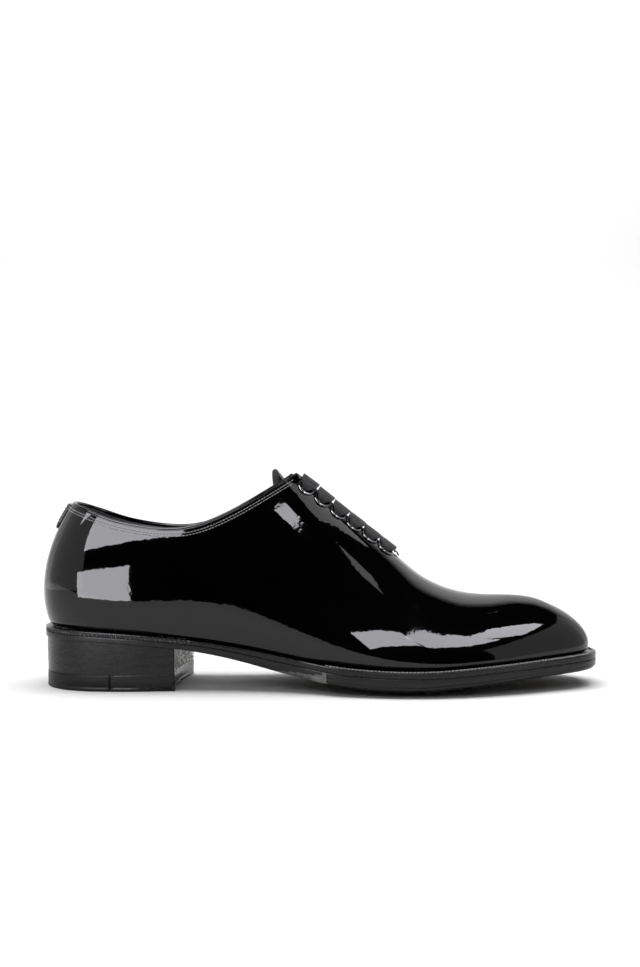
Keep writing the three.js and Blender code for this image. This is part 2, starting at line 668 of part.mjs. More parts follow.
// The top piece: leather in front, rubber behind a straight joint.
const heelLength = BREAST_LATERAL - FEATHER_LATERAL[0][0];
const jointStation = 1 - (heelLength - RUBBER_LENGTH) / heelLength / 1.35;
const rear = HEEL_STATIONS.filter((u) => u < jointStation - 0.03);
const front = HEEL_STATIONS.filter((u) => u > jointStation + 0.03);
addPiece("heel_rubber_tip", heelSlab(0, TOP_PIECE, [...rear, jointStation - 0.003], () => 0), "rubber");
const nailSpots = [[0.14, 0.92], [0.5, 0.94], [0.86, 0.92], [0.16, 0.78], [0.84, 0.78]];
const NAIL_LENGTH = 6.5;
const NAIL_RECESS = 0.2;
const nails = nailSpots.map(([s, u]) => {
  const p = heelEdge(0)(-1, u).lerp(heelEdge(0)(1, u), s);
  return new THREE.Vector3(p.x + hollow(s, u), p.y, 0);
});
const up = new THREE.Vector3(0, 0, 1);
const frontPlate = [jointStation + 0.003, ...front];
const topPieceBlank = plate({
  edge: heelEdge(TOP_PIECE / 2),
  us: frontPlate,
  across: 4,
  top: () => TOP_PIECE,
  bottom: () => 0,
  shift: hollow,
});
const upright = (p, radius, from, to) =>
  cylinder(radius, p.clone().addScaledVector(up, from), p.clone().addScaledVector(up, to), 8);
const drilled = nails.reduce(
  (solid, p) => solid.subtract(upright(p, NAIL_RADIUS + GAP, -1, NAIL_LENGTH + GAP)),
  topPieceBlank,
);
addPiece("heel_top_piece", drilled, "heel");
nails.forEach((p, i) => {
  addPiece(`heel_nail_${i + 1}`, upright(p, NAIL_RADIUS, NAIL_RECESS, NAIL_LENGTH), "brass");
});

// Eyelets: a row on each facing, a fixed distance from the lacing gap.
function facingPoint(side, x, inset, depth = 0) {
  const from = (u) => {
    const end = lastPoint(side, u, 1);
    let [lo, hi] = [0.6, 1];
    for (let i = 0; i < 30; i++) {
      const mid = (lo + hi) / 2;
      if (lastPoint(side, u, mid).distanceTo(end) > inset) lo = mid;
      else hi = mid;
    }
    return hi;
  };
  const u = stationAt(x, (v) => lastPoint(side, v, from(v)).x);
  const t = from(u);
  return { u, t, at: surface(side, u, t, depth), normal: lastNormal(side, u, t) };
}
const eyelets = [-1, 1].map((side) =>
  Array.from({ length: EYELETS }, (_, k) => {
    const p = facingPoint(side, EYELET_FIRST + k * EYELET_STEP, EYELET_INSET);
    const e = 0.5;
    const ahead = facingPoint(side, EYELET_FIRST + k * EYELET_STEP + e, EYELET_INSET).at;
    const along = ahead.sub(p.at).normalize();
    along.addScaledVector(p.normal, -along.dot(p.normal)).normalize();
    const inward = p.normal.clone().cross(along).multiplyScalar(side < 0 ? 1 : -1);
    return { ...p, along, inward, side };
  }),
);
const WALL_DEPTH = UPPER + GAP + STIFFENER + GAP + LINING;
const holes = eyelets.flat().map(({ at, normal }) =>
  cylinder(
    EYELET_BORE + EYELET_WALL + GAP,
    at.clone().addScaledVector(normal, 4),
    at.clone().addScaledVector(normal, -WALL_DEPTH - 1.5),
  ),
);
const punched = (solid) => holes.reduce((left, hole) => left.subtract(hole), solid);
eyelets.forEach((row, i) =>
  row.forEach(({ at, normal }, k) => {
    const [r0, r1, r2] = [EYELET_BORE, EYELET_BORE + EYELET_WALL, EYELET_OUTER];
    const [low, base, rim] = [-WALL_DEPTH, GAP, GAP + EYELET_FLANGE];
    const profile = [
      [r1, low], [r1, base], [r2, base], [r2 - 0.5, rim], [r1 - 0.1, rim], [r0, base - 0.2], [r0, low],
      [r1, low],
    ].map(([r, z]) => new THREE.Vector2(r, z));
    const ring = new THREE.LatheGeometry(profile, 10);
    ring.applyQuaternion(new THREE.Quaternion().setFromUnitVectors(new THREE.Vector3(0, 1, 0), normal));
    ring.translate(at.x, at.y, at.z);
    addPiece(`eyelet_${i ? "medial" : "lateral"}_${k + 1}`, toSolid(ring), "gunmetal");
  }),
);

// The upper: the walls, a rounded feather edge and the margin turned in under the insole.
const MARGIN_RADIUS = 3;
const upperGrid = allRound().map(([side, u]) => {
  const floor = (m, depth) => {
    const p = innerEdge(side, u, m);
    return new THREE.Vector3(p.x, p.y, soleTop(p.x, p.y) + FLOOR_OF_UPPER + depth);
  };
  const pair = (make) => ({ face: make(0), back: make(UPPER) });
  const bend = (s) => (depth) => {
    const [a, c] = [floor(MARGIN_RADIUS, depth), layerPoint(side, u, LOW_T, depth)];
    const b = floor(depth, depth);
    return a.multiplyScalar((1 - s) ** 2).addScaledVector(b, 2 * s * (1 - s)).addScaledVector(c, s * s);
  };
  return [
    pair((d) => floor(LASTING_MARGIN, d)),
    pair((d) => floor(MARGIN_RADIUS, d)),
    pair(bend(0.33)),
    pair(bend(0.67)),
    ...FULL_HEIGHT.map((s) => pair((d) => layerPoint(side, u, heightAt(side, u, s), d))),
  ];
});
addPiece("upper", punched(thicken([{ grid: upperGrid, ring: true }])), "patent");

// Linings and stiffeners.
const STIFF_DEPTH = UPPER + GAP;
const LINING_DEPTH = STIFF_DEPTH + STIFFENER + GAP;
const VAMP_FROM = THROAT + 0.1 / stations;
addPiece(
  "vamp_lining",
  layer({ columns: roundToe(VAMP_FROM), depth: LINING_DEPTH, thickness: LINING }),
  "lining",
);
const QUARTER_END = THROAT - 0.12 / stations;
const towardsTop = (side, u, s) => blend(0.75, 1, s) * blend(CORNER, 5.5 / stations, u);
addPiece(
  "quarter_lining",
  punched(
    layer({
      columns: roundBack(QUARTER_END),
      depth: (side, u, s) => LINING_DEPTH - (LINING_DEPTH - STIFF_DEPTH) * towardsTop(side, u, s),
      thickness: LINING,
    }),
  ),
  "lining",
);
addPiece(
  "heel_counter",
  layer({
    columns: roundBack(4.5 / stations),
    shares: (side, u) => steps(0, 0.625 - 0.25 * blend(0.15, 0.3, u), 5),
    depth: STIFF_DEPTH,
    thickness: STIFFENER,
  }),
  "stiffener",
);
addPiece(
  "toe_puff",
  layer({ columns: roundToe(13 / stations), depth: STIFF_DEPTH, thickness: STIFFENER }),
  "stiffener",
);
for (const side of [-1, 1]) {
  const us = between(CORNER, THROAT - 0.36 / stations);
  const stay = layer({
    columns: (side < 0 ? us.reverse() : us).map((u) => [side, u]),
    shares: () => [5 / ROWS, 6 / ROWS, 0.99],
    depth: STIFF_DEPTH,
    thickness: STIFFENER,
  });
  addPiece(`facing_stay_${side < 0 ? "lateral" : "medial"}`, punched(stay), "stiffener");
}
const GRIP = 0.8;
addPiece(
  "heel_grip",
  layer({
    columns: roundBack(2.5 / stations),
    shares: (side, u) => steps(0.25, 0.98 - 0.12 * blend(0.1, 0.16, u), 6),
    depth: LINING_DEPTH + LINING + GAP,
    thickness: GRIP,
  }),
  "lining",
);
// The strap that covers the back seam, rounded at its lower end.
const TAB_HALF = 5.4;
const TAB_LOW = 85;
const tabStation = (t, half) => {
  const at = (u) => Math.abs(lastPoint(-1, u, t).y);
  let [lo, hi] = [0, 0.12];
  for (let i = 0; i < 30; i++) {
    const mid = (lo + hi) / 2;
    if (at(mid) < half) lo = mid;
    else hi = mid;
  }
  return lo;
};
const backAt = (z) => {
  let [lo, hi] = [0.3, 1];
  for (let i = 0; i < 30; i++) {
    const mid = (lo + hi) / 2;
    if (lastPoint(-1, 0, mid).z < z) lo = mid;
    else hi = mid;
  }
  return lo;
};
const TAB_THICK = 1.1;
const tabGrid = steps(0, 1, 10).map((s) => {
  const t = backAt(TAB_LOW) + (toplineAt(-1, 0) - 0.008 - backAt(TAB_LOW)) * s;
  const half = TAB_HALF * Math.sqrt(1 - Math.max(0, 1 - (s + 0.02) / 0.3) ** 2);
  return [-1, -0.66, -0.33, 0, 0.33, 0.66, 1].map((k) => {
    const side = k < 0 ? -1 : 1;
    const u = tabStation(t, half * Math.abs(k));
    return { face: surface(side, u, t, -GAP - TAB_THICK), back: surface(side, u, t, -GAP) };
  });
});
addPiece("back_tab", thicken([{ grid: tabGrid }]), "patent");

// The bead that finishes the topline, from one facing's corner round the heel to the other's.
const BEAD = 1.0;
const BEAD_DEPTH = (UPPER + GAP + LINING) / 2;
const beadColumns = roundBack(CORNER - 0.004);
const beadCentres = beadColumns.map(([side, u]) => {
  const t = toplineAt(side, u);
  const rise = lastPoint(side, u, Math.min(1, t)).sub(lastPoint(side, u, t - 0.02)).normalize();
  const e = 2e-3;
  const run = lastPoint(side, u + e, toplineAt(side, u + e)).sub(lastPoint(side, u, t)).normalize();
  rise.addScaledVector(run, -rise.dot(run)).normalize();
  return surface(side, u, t, BEAD_DEPTH).addScaledVector(rise, BEAD + 2 * GAP);
});
const beadCurve = new THREE.CatmullRomCurve3(beadCentres, false, "centripetal");
const beadFrames = beadColumns.map(([side, u], i) => {
  const at = beadCentres[i];
  const tangent = beadCurve.getTangent(i / (beadColumns.length - 1)).normalize();
  const wide = lastNormal(side, u, toplineAt(side, u));
  wide.addScaledVector(tangent, -wide.dot(tangent)).normalize();
  const high = tangent.clone().cross(wide).normalize();
  return { at, wide: wide.multiplyScalar(BEAD_DEPTH), high: high.multiplyScalar(BEAD) };
});
addPiece("topline_bead", bar(beadFrames, 6, 0.85), "patent");

// The tongue: it follows both walls from below and arches over the lacing gap.
const TONGUE_DEPTH = 6.4;
const TONGUE_FROM = stationAt(TONGUE_TOP, crownX);
const TONGUE_TO = stationAt(TONGUE_HINGE, crownX);
const tongueStations = steps(TONGUE_FROM, TONGUE_TO, 10);
const tongueDepth = (u) => TONGUE_DEPTH - 1.2 * blend(CORNER + 0.004, TONGUE_FROM, u);
const tongueLow = (u) => 0.75 + 0.06 * blend(0.5, TONGUE_TO, u) + 0.03 * blend(CORNER, TONGUE_FROM, u);
const SHOULDER = 0.9;
function tonguePoint(u, v, depth) {
  const side = v < 0 ? -1 : 1;
  const flat = 0.4; // share of the half-width that arches over the gap
  const low = tongueLow(u);
  const share = (1 - Math.abs(v)) / (1 - flat);
  if (share <= 1) return surface(side, u, low + (SHOULDER - low) * share, depth);
  const ends = [-1, 1].map((k) => surface(k, u, SHOULDER, depth));
  const pull = [-1, 1].map((k, i) => ends[i].clone().sub(surface(k, u, SHOULDER - 0.02, depth)).normalize());
  const reach = ends[0].distanceTo(ends[1]) * (0.34 + 0.2 * blend(CORNER, TONGUE_FROM, u));
  const s = (v + flat) / (2 * flat);
  const handles = ends.map((p, k) => p.clone().addScaledVector(pull[k], reach));
  return new THREE.CubicBezierCurve3(ends[0], handles[0], handles[1], ends[1]).getPoint(s);
}
const tongueSteps = [-1, -0.7, -0.4, -0.2, 0, 0.2, 0.4, 0.7, 1];
const tongueSheet = (from, thickness, narrow) =>
  thicken([
    {
      grid: tongueStations.map((u) =>
        tongueSteps.map((v) => {
          const d = tongueDepth(u) + from;
          return { face: tonguePoint(u, v * narrow, d), back: tonguePoint(u, v * narrow, d + thickness) };
        }),
      ),
    },
  ]);
addPiece("tongue", tongueSheet(0, TONGUE, 1), "patent");
addPiece("tongue_lining", tongueSheet(TONGUE + GAP, TONGUE_LINING, 0.98), "lining");
const BINDING = 1.5;
const topDepth = tongueDepth(TONGUE_FROM);
const bindingAt = (v) => tonguePoint(TONGUE_FROM, v, topDepth + (TONGUE + GAP + TONGUE_LINING) / 2);
const bindingFrames = steps(-0.96, 0.96, 14).map((v) => {
  const back = bindingAt(v).sub(tonguePoint(TONGUE_FROM + 0.01, v, topDepth + TONGUE)).normalize();
  const tangent = bindingAt(v + 0.02).sub(bindingAt(v - 0.02)).normalize();
  back.addScaledVector(tangent, -back.dot(tangent)).normalize();
  const high = tangent.clone().cross(back).normalize();
  return {
    at: bindingAt(v).addScaledVector(back, 1.3 + GAP),
    wide: back.multiplyScalar(1.3),
    high: high.multiplyScalar(BINDING),
  };
});
addPiece("tongue_binding", bar(bindingFrames), "textile");

// The lace: one flat ribbon. It crosses over the facings in straight bars and climbs from one
// pair of eyelets to the next under the facing, on alternate sides.
const LACE_RISE = EYELET_FLANGE + GAP * 2 + LACE_THICKNESS / 2 + 0.1; // bar's middle above the facing
const LINK_DEPTH = WALL_DEPTH + GAP + LACE_THICKNESS / 2 + 0.3;
const BUNCH = { width: 3, thickness: 2.5 }; // section inside an eyelet
const laceKnots = [];
const knot = (at, width, thickness, wide) =>
  laceKnots.push({ at, width, thickness, wide: wide.clone().normalize() });
const off = (e, along, inward, out) => {
  const at = e.at.clone().addScaledVector(e.along, along).addScaledVector(e.inward, inward);
  return at.addScaledVector(e.normal, out);
};
const { width: bw, thickness: bt } = BUNCH;
function laceBar(a, b) {
  const over = (e, order) => {
    const list = [
      () => knot(off(e, 0, 0.1, -0.9), bw, bt, e.along),
      () => knot(off(e, 0, 0.7, 0.7), bw + 1.6, bt - 0.7, e.along),
      () => knot(off(e, 0, 2.5, LACE_RISE), LACE_WIDTH - 2.4, LACE_THICKNESS + 0.1, e.along),
      () => knot(off(e, 0, 5.2, LACE_RISE + 0.1), LACE_WIDTH, LACE_THICKNESS, e.along),
    ];
    (order > 0 ? list : list.reverse()).forEach((f) => f());
  };
  over(a, 1);
  const middle = off(a, 0, 5.2, LACE_RISE).add(off(b, 0, 5.2, LACE_RISE)).multiplyScalar(0.5);
  middle.addScaledVector(a.normal.clone().add(b.normal).normalize(), 0.9);
  knot(middle, LACE_WIDTH, LACE_THICKNESS, a.along.clone().add(b.along));
  over(b, -1);
}
function laceLink(a, b) {
  const down = (e, way, order) => {
    const list = [
      () => knot(off(e, -0.9 * way, 0, -2.4), bw, bt, e.inward),
      () => knot(off(e, -0.2 * way, 0, -4.1), bw, bt - 0.7, e.inward),
      () => knot(off(e, 2 * way, 0, -LINK_DEPTH), bw + 1, LACE_THICKNESS, e.inward),
    ];
    (order > 0 ? list : list.reverse()).forEach((f) => f());
  };
  const way = Math.sign(b.at.x - a.at.x);
  down(a, way, 1);
  down(b, -way, -1);
}
const TUCK = { low: 12, end: 21 };
function laceEnd(e, order) {
  // The end runs down the inside of the facing, away from the gap.
  const list = [
    () => knot(off(e, 0, 0.3, -2.4), bw, bt, e.along),
    () => knot(off(e, 0, -0.6, -4.0), bw, bt - 0.7, e.along),
    () => knot(surface(e.side, e.u, e.t - 0.045, LINK_DEPTH), LACE_WIDTH - 4, LACE_THICKNESS, e.along),
    () => knot(surface(e.side, e.u, e.t - 0.11, LINK_DEPTH), LACE_WIDTH - 4, LACE_THICKNESS, e.along),
    () => knot(surface(e.side, e.u, e.t - 0.175, LINK_DEPTH + 0.4), LACE_WIDTH - 5, 1.6, e.along),
  ];
  (order > 0 ? list : list.reverse()).forEach((f) => f());
}
let side = 0;
laceEnd(eyelets[side][EYELETS - 1], -1);
for (let k = EYELETS - 1; k >= 0; k--) {
  laceBar(eyelets[side][k], eyelets[1 - side][k]);
  side = 1 - side;
  if (k > 0) laceLink(eyelets[side][k], eyelets[side][k - 1]);
}
const topSide = side;
laceEnd(eyelets[topSide][0], 1);
const laceCurve = new THREE.CatmullRomCurve3(laceKnots.map((k) => k.at), false, "centripetal");
const LACE_STEPS = 1; // frames from one knot to the next
const laceFrames = [];
for (let i = 0; i < (laceKnots.length - 1) * LACE_STEPS + 1; i++) {
  const s = i / LACE_STEPS;
  const [a, b] = [Math.floor(s), Math.min(laceKnots.length - 1, Math.floor(s) + 1)];
  const mix = (p) => laceKnots[a][p] + (laceKnots[b][p] - laceKnots[a][p]) * (s - a);
  const at = laceCurve.getPoint(i / ((laceKnots.length - 1) * LACE_STEPS));
  const tangent = laceCurve.getTangent(i / ((laceKnots.length - 1) * LACE_STEPS));
  const wide = laceKnots[a].wide.clone();
  const other = laceKnots[b].wide.clone().multiplyScalar(Math.sign(wide.dot(laceKnots[b].wide)) || 1);
  wide.lerp(other, s - a);
  wide.addScaledVector(tangent, -wide.dot(tangent)).normalize();
  if (laceFrames.length && wide.dot(laceFrames[laceFrames.length - 1].wide) < 0) wide.negate();
  const high = tangent.clone().cross(wide).normalize();
  wide.multiplyScalar(mix("width") / 2);
  high.multiplyScalar(mix("thickness") / 2);
  laceFrames.push({ at, wide, high });
}
addPiece("lace", bar(laceFrames), "textile");
const AGLET = { length: 12, width: 5.4, thickness: 2.2 };
[eyelets[0][EYELETS - 1], eyelets[topSide][0]].forEach((e, i) => {
  const frames = steps(0, 1, 3).map((s) => {
    const t = e.t - 0.185 - 0.09 * s;
    const at = surface(e.side, e.u, t, LINK_DEPTH + 0.9);
    const tangent = surface(e.side, e.u, t - 0.01, LINK_DEPTH + 0.9).sub(at).normalize();
    const wide = e.along.clone().addScaledVector(tangent, -e.along.dot(tangent)).normalize();
    const high = tangent.clone().cross(wide);
    return { at, wide: wide.multiplyScalar(AGLET.width / 2), high: high.multiplyScalar(AGLET.thickness / 2) };
  });
  addPiece(`aglet_${i + 1}`, bar(frames), "plastic");
});

// The bar tack that stops the lacing gap from tearing.
const TACK = { length: 2.4, width: 5, height: 1.1 };
const tackX = crownX(THROAT) + 1.6;
const fall = CROWN(tackX + 0.5) - CROWN(tackX - 0.5);
const tackFrames = [-1, -0.5, 0.5, 1].map((k) => {
  const y = MIDDLE(tackX) + (k * TACK.width) / 2;
  const swell = Math.abs(k) === 1 ? 0.55 : 1;
  return {
    at: new THREE.Vector3(tackX, y, CROWN(tackX) + GAP + TACK.height / 2 + 0.1),
    wide: new THREE.Vector3(1, 0, fall).setLength((TACK.length / 2) * swell),
    high: new THREE.Vector3(-fall, 0, 1).setLength((TACK.height / 2) * swell),
  };
});
addPiece("bar_tack", bar(tackFrames), "textile");

export default shoe;
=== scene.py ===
import math
import bmesh
import bpy
import numpy as np
from mathutils import Matrix, Vector


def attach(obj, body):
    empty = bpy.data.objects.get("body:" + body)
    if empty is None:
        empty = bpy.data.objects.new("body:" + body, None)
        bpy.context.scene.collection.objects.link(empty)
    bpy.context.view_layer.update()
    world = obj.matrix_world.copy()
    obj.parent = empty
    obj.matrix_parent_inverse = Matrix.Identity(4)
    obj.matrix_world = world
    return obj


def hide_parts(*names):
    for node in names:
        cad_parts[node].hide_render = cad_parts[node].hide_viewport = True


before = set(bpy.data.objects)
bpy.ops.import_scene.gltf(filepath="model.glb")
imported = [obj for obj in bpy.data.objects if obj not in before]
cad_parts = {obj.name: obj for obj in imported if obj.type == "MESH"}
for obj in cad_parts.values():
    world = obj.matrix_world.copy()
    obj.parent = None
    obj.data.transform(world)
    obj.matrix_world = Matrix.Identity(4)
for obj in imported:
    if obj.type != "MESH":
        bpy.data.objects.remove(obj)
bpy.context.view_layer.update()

MM = 0.001
rng = np.random.default_rng(7)

# ---------------------------------------------------------------- dimensions, as in the CAD model (mm)
GAP, UPPER, STIFFENER, LINING = 0.3, 1.2, 1.2, 0.9
INSOLE, SOCK = 2.6, 1.2
LASTING_MARGIN = 9.0
WELT_T, RAND_T = 3.2, 2.4
TOP_PIECE, LIFT = 8.4, 4.6
HEEL_TAPER = 0.035
BREAST = {-1: -77.0, 1: -73.0}
RUBBER_LENGTH = 40.0
EYELETS, EYELET_OUTER, EYELET_BORE, EYELET_WALL, EYELET_FLANGE = 6, 5.1, 3.7, 0.4, 0.55
EYELET_FIRST, EYELET_STEP, EYELET_INSET = -7.7, 8.7, 7.2
LACE_W, LACE_T = 10.2, 1.1
WALL_DEPTH = UPPER + GAP + STIFFENER + GAP + LINING


# ---------------------------------------------------------------- curves
class Spline:
    """Cubic spline through knots; clamped means flat at both ends."""

    def __init__(self, knots, clamped=False):
        self.x = np.array([k[0] for k in knots], float)
        self.y = np.array([k[1] for k in knots], float)
        n = len(knots)
        h = np.diff(self.x)
        r = np.diff(self.y) / h
        m = np.zeros((n, n))
        d = np.zeros(n)
        m[0, 0] = m[-1, -1] = 1
        for i in range(1, n - 1):
            m[i, i - 1], m[i, i], m[i, i + 1] = h[i - 1], 2 * (h[i - 1] + h[i]), h[i]
            d[i] = 6 * (r[i] - r[i - 1])
        if clamped:
            m[0, 0], m[0, 1], d[0] = 2 * h[0], h[0], 6 * r[0]
            m[-1, -1], m[-1, -2], d[-1] = 2 * h[-1], h[-1], -6 * r[-1]
        self.s = np.linalg.solve(m, d)

    def __call__(self, t):
        t = np.clip(t, self.x[0], self.x[-1])
        i = np.clip(np.searchsorted(self.x, t, side="left") - 1, 0, len(self.x) - 2)
        h = self.x[i + 1] - self.x[i]
        p, q = (self.x[i + 1] - t) / h, (t - self.x[i]) / h
        bend = (p**3 - p) * self.s[i] + (q**3 - q) * self.s[i + 1]
        return p * self.y[i] + q * self.y[i + 1] + bend * h * h / 6


def evenly(values, clamped=False):
    n = len(values) - 1
    return Spline([(i / n, v) for i, v in enumerate(values)], clamped)


def blend(a, b, x):
    t = np.clip((x - a) / (b - a), 0, 1)
    return t * t * (3 - 2 * t)


# ---------------------------------------------------------------- the last
LATERAL = [(-148.6, 0), (-142.4, -18.2), (-124, -28.6), (-98, -30.2), (-70, -29.4), (-42, -30.2),
           (-20, -33.6), (0, -38.6), (22, -44.4), (45, -47.2), (67, -45.8), (89, -40.4), (109, -32.6),
           (127, -24.2), (140, -16.6), (146.3, -8.2), (147.8, 1)]
MEDIAL = [(-148.6, 0), (-142.4, 18), (-124, 28), (-98, 28.2), (-70, 25.6), (-42, 24.4), (-18, 27.4),
          (4, 33.4), (26, 41), (48, 46.4), (69, 47), (90, 42.8), (110, 35), (127, 26.2), (140, 17.8),
          (146.3, 9.8), (147.8, 1)]
N = len(LATERAL) - 1
heading = evenly([180, 136, 104, 91, 90, 91, 93, 93, 92, 90, 88, 84, 77, 64, 44, 20, 0])
crown_x = evenly([-130, -127, -117, -99, -75, -48, -28, -10, 14, 41, 63, 84, 101, 114, 122, 126.6, 128.4])
crown = Spline([(-131, 110), (-117, 103.5), (-99, 98), (-75, 98), (-48, 109), (-30, 120.5), (-14, 116.5),
                (-2, 107), (16, 91.6), (31, 79.6), (44, 68.9), (54, 60.6), (65, 54.3), (74, 51), (84, 49),
                (94, 48.3), (104, 48.2), (113, 47.6), (121, 45.9), (128.4, 42.9)])
middle = Spline([(-150, 0), (-60, 0), (-10, 0.5), (20, 1.6), (50, 3), (80, 3.4), (110, 2.6), (150, 1)])
THROAT = 9 / N
_open = evenly([0, 9.5, 17.5, 22, 22.5, 18.6, 10.8, 4.2, 2.6, 2.4, 1.6, 0.6, 0, 0, 0, 0, 0])
_down = evenly([30, 29, 25.5, 21.5, 21.5, 24, 20, 10, 3.8, 0.8, 0, 0, 0, 0, 0, 0, 0])
low_out = evenly([7.6, 7.4, 6.4, 4.6, 4.4, 5.2, 6, 6.2, 5.8, 5, 4.2, 3.8, 3.6, 3.6, 3.8, 4, 4.2], True)
low_up = evenly([17, 17, 17.5, 17, 18.5, 21, 22.5, 22, 20, 17.5, 14, 12, 11.2, 10.8, 10.6, 10.6, 10.6], True)
high_out = evenly([24, 22.8, 15.2, 9.6, 9.2, 12, 15.5, 19, 20.5, 21.5, 23, 22, 19.5, 16.2, 13.4, 11.4,
                   10.6], True)
topline = Spline([(-150, 106), (-137, 99), (-126, 94.8), (-114.7, 90.6), (-101, 87.2), (-92, 85.8),
                  (-80, 85), (-68, 86.3), (-56, 90.4), (-45, 95.7), (-36, 100.8), (-29, 105), (-22, 109.3),
                  (-16, 113.3), (-8, 120)])


def open_half(u):
    return np.maximum(0, _open(u))


def crown_half(u):
    left = (crown_x(THROAT) - crown_x(u)) / 5.0
    closing = np.sqrt(np.clip(1 - np.maximum(0, 1 - left) ** 2, 0, None))
    return np.where(left <= 0, 0, open_half(u) * closing)


def high_down(u):
    return np.maximum(0, _down(u))


def _outline():
    ring = MEDIAL[1:][::-1] + LATERAL
    size = len(ring) - 1
    knots = [[], []]
    for k in range(-4, size + 5):
        for axis in (0, 1):
            knots[axis].append(((k - N) / N, ring[k % size][axis]))
    return Spline(knots[0]), Spline(knots[1])


_fx, _fy = _outline()


def feather(side, u):
    w = -side * u
    return np.stack([_fx(w), _fy(w)], -1)


def feather_normal(side, u):
    w, e = -side * u, 1e-3
    dx, dy = _fx(w + e) - _fx(w - e), _fy(w + e) - _fy(w - e)
    size = np.hypot(dx, dy)
    return np.stack([dy / size, -dx / size], -1)


SOLE_TOP = Spline([(-152, 32.6), (-130, 32), (-106, 30.8), (-77, 27.8), (-51, 23.8), (-15, 16.3), (6, 12.2),
                   (25, 10.3), (44, 9.7), (64, 10.3), (84, 12), (100, 13.6), (115, 15.2), (130, 16.6),
                   (143, 17.6), (153, 18.2)])
SOLE_BOTTOM = Spline([(-152, 27.2), (-130, 26.6), (-106, 25.4), (-77, 22.4), (-51, 17.4), (-15, 7.6),
                      (6, 3), (22, 0.8), (36, 0), (48, 0), (64, 0.9), (84, 2.9), (100, 4.9), (115, 6.8),
                      (130, 8.2), (143, 9.2), (153, 9.8)])
TURN_UP = Spline([(-152, 0), (-80, 0), (-40, 0.8), (0, 2), (40, 2.8), (80, 2.2), (120, 0.9), (153, 0)])
HALF = Spline([(-152, 31), (-60, 30), (0, 38), (50, 50), (100, 40), (153, 30)])


def turn_up(x, y):
    return TURN_UP(x) * np.minimum(1.3, ((y - middle(x)) / HALF(x)) ** 2)


def sole_top(x, y):
    return SOLE_TOP(x) + turn_up(x, y)


def sole_bottom(x, y):
    return np.maximum(0, SOLE_BOTTOM(x)) + turn_up(x, y)


def edge_out(side, x):
    start = np.where(side < 0, -4.0, 12.0)
    waist = 1.2 + 1.4 * blend(-70, -100, x)
    return waist + (4.6 - waist) * blend(start - 8, start + 16, x)


def welt_thickness(x):
    return RAND_T + (WELT_T - RAND_T) * blend(-60, -15, x)


def around(side, u, out):
    """A point of the outline, `out` mm outside the feather line."""
    return feather(side, u) + feather_normal(side, u) * np.asarray(out)[..., None]


# ---------------------------------------------------------------- the outer surface
def last_point(side, u, t):
    side, u, t = np.broadcast_arrays(np.asarray(side, float), np.asarray(u, float), np.asarray(t, float))
    f = feather(side, u)
    zf = sole_top(f[..., 0], f[..., 1]) + GAP
    cx = crown_x(u)
    cy = middle(cx) + side * open_half(u)
    closing = side * (crown_half(u) - open_half(u)) * blend(0.86, 1, t)
    cz = crown(cx)
    a = np.radians(heading(u))
    ex, ey = np.cos(a), side * np.sin(a)
    slope = (crown(cx) - crown(cx - 1)) * blend(60, 100, cx)
    lo, hi = low_out(u), high_out(u)
    b0, b1, b2, b3 = (1 - t) ** 3, 3 * t * (1 - t) ** 2, 3 * t * t * (1 - t), t**3
    x = b0 * f[..., 0] + b1 * (f[..., 0] + ex * lo) + b2 * (cx + ex * hi) + b3 * cx
    y = b0 * f[..., 1] + b1 * (f[..., 1] + ey * lo) + b2 * (cy + ey * hi) + b3 * cy + closing
    z = b0 * zf + b1 * (zf + low_up(u)) + b2 * (cz - high_down(u) + slope * ex * hi) + b3 * cz
    return np.stack([x, y, z], -1)


def unit(v):
    return v / np.maximum(np.linalg.norm(v, axis=-1, keepdims=True), 1e-12)


def last_normal(side, u, t):
    side, u, t = np.broadcast_arrays(np.asarray(side, float), np.asarray(u, float), np.asarray(t, float))
    e = 1e-3
    u0 = np.clip(u - e, 0, 0.983)
    u1 = np.minimum(0.985, np.maximum(u + e, u0 + e))
    du = last_point(side, u1, t) - last_point(side, u0, t)
    flat = np.zeros_like(du)
    flat[..., 1] = 1
    du = np.where((u <= 0)[..., None], flat * side[..., None], du)
    du = np.where((u >= 1)[..., None], -flat * side[..., None], du)
    dt = last_point(side, u, np.minimum(1, t + e)) - last_point(side, u, np.maximum(0, t - e))
    n = unit(np.cross(du, dt)) * np.where(side < 0, 1, -1)[..., None]
    ridge = (t > 1 - 1e-9) & (crown_half(u) == 0)
    if ridge.any():
        n = n.copy()
        both = n[ridge].copy()
        both[..., 1] = 0
        n[ridge] = unit(both)
    return n


def surface(side, u, t, depth):
    return last_point(side, u, t) - last_normal(side, u, t) * np.asarray(depth, float)[..., None]


def topline_at(side, u):
    side, u = np.broadcast_arrays(np.asarray(side, float), np.asarray(u, float))
    lo, hi = np.full(u.shape, 0.4), np.ones(u.shape)

    def over(t):
        p = last_point(side, u, t)
        return p[..., 2] - topline(p[..., 0])

    full = (crown_x(u) > -8) | (over(hi) <= 0)
    for _ in range(40):
        mid = (lo + hi) / 2
        below = over(mid) < 0
        lo, hi = np.where(below, mid, lo), np.where(below, hi, mid)
    return np.where(full, 1.0, hi)


def solve(f, lo, hi, steps=40):
    """The place where the condition f stops being true."""
    for _ in range(steps):
        mid = (lo + hi) / 2
        if f(mid):
            lo = mid
        else:
            hi = mid
    return (lo + hi) / 2


def bisect(f, like, lo, hi, steps=40):
    """As solve, for every value of an array at once."""
    lo, hi = np.full(np.shape(like), float(lo)), np.full(np.shape(like), float(hi))
    for _ in range(steps):
        mid = (lo + hi) / 2
        held = f(mid)
        lo, hi = np.where(held, mid, lo), np.where(held, hi, mid)
    return (lo + hi) / 2


CORNER = solve(lambda u: topline_at(-1, u) < 1, 6 / N, 8 / N)
LOW_T = 0.055


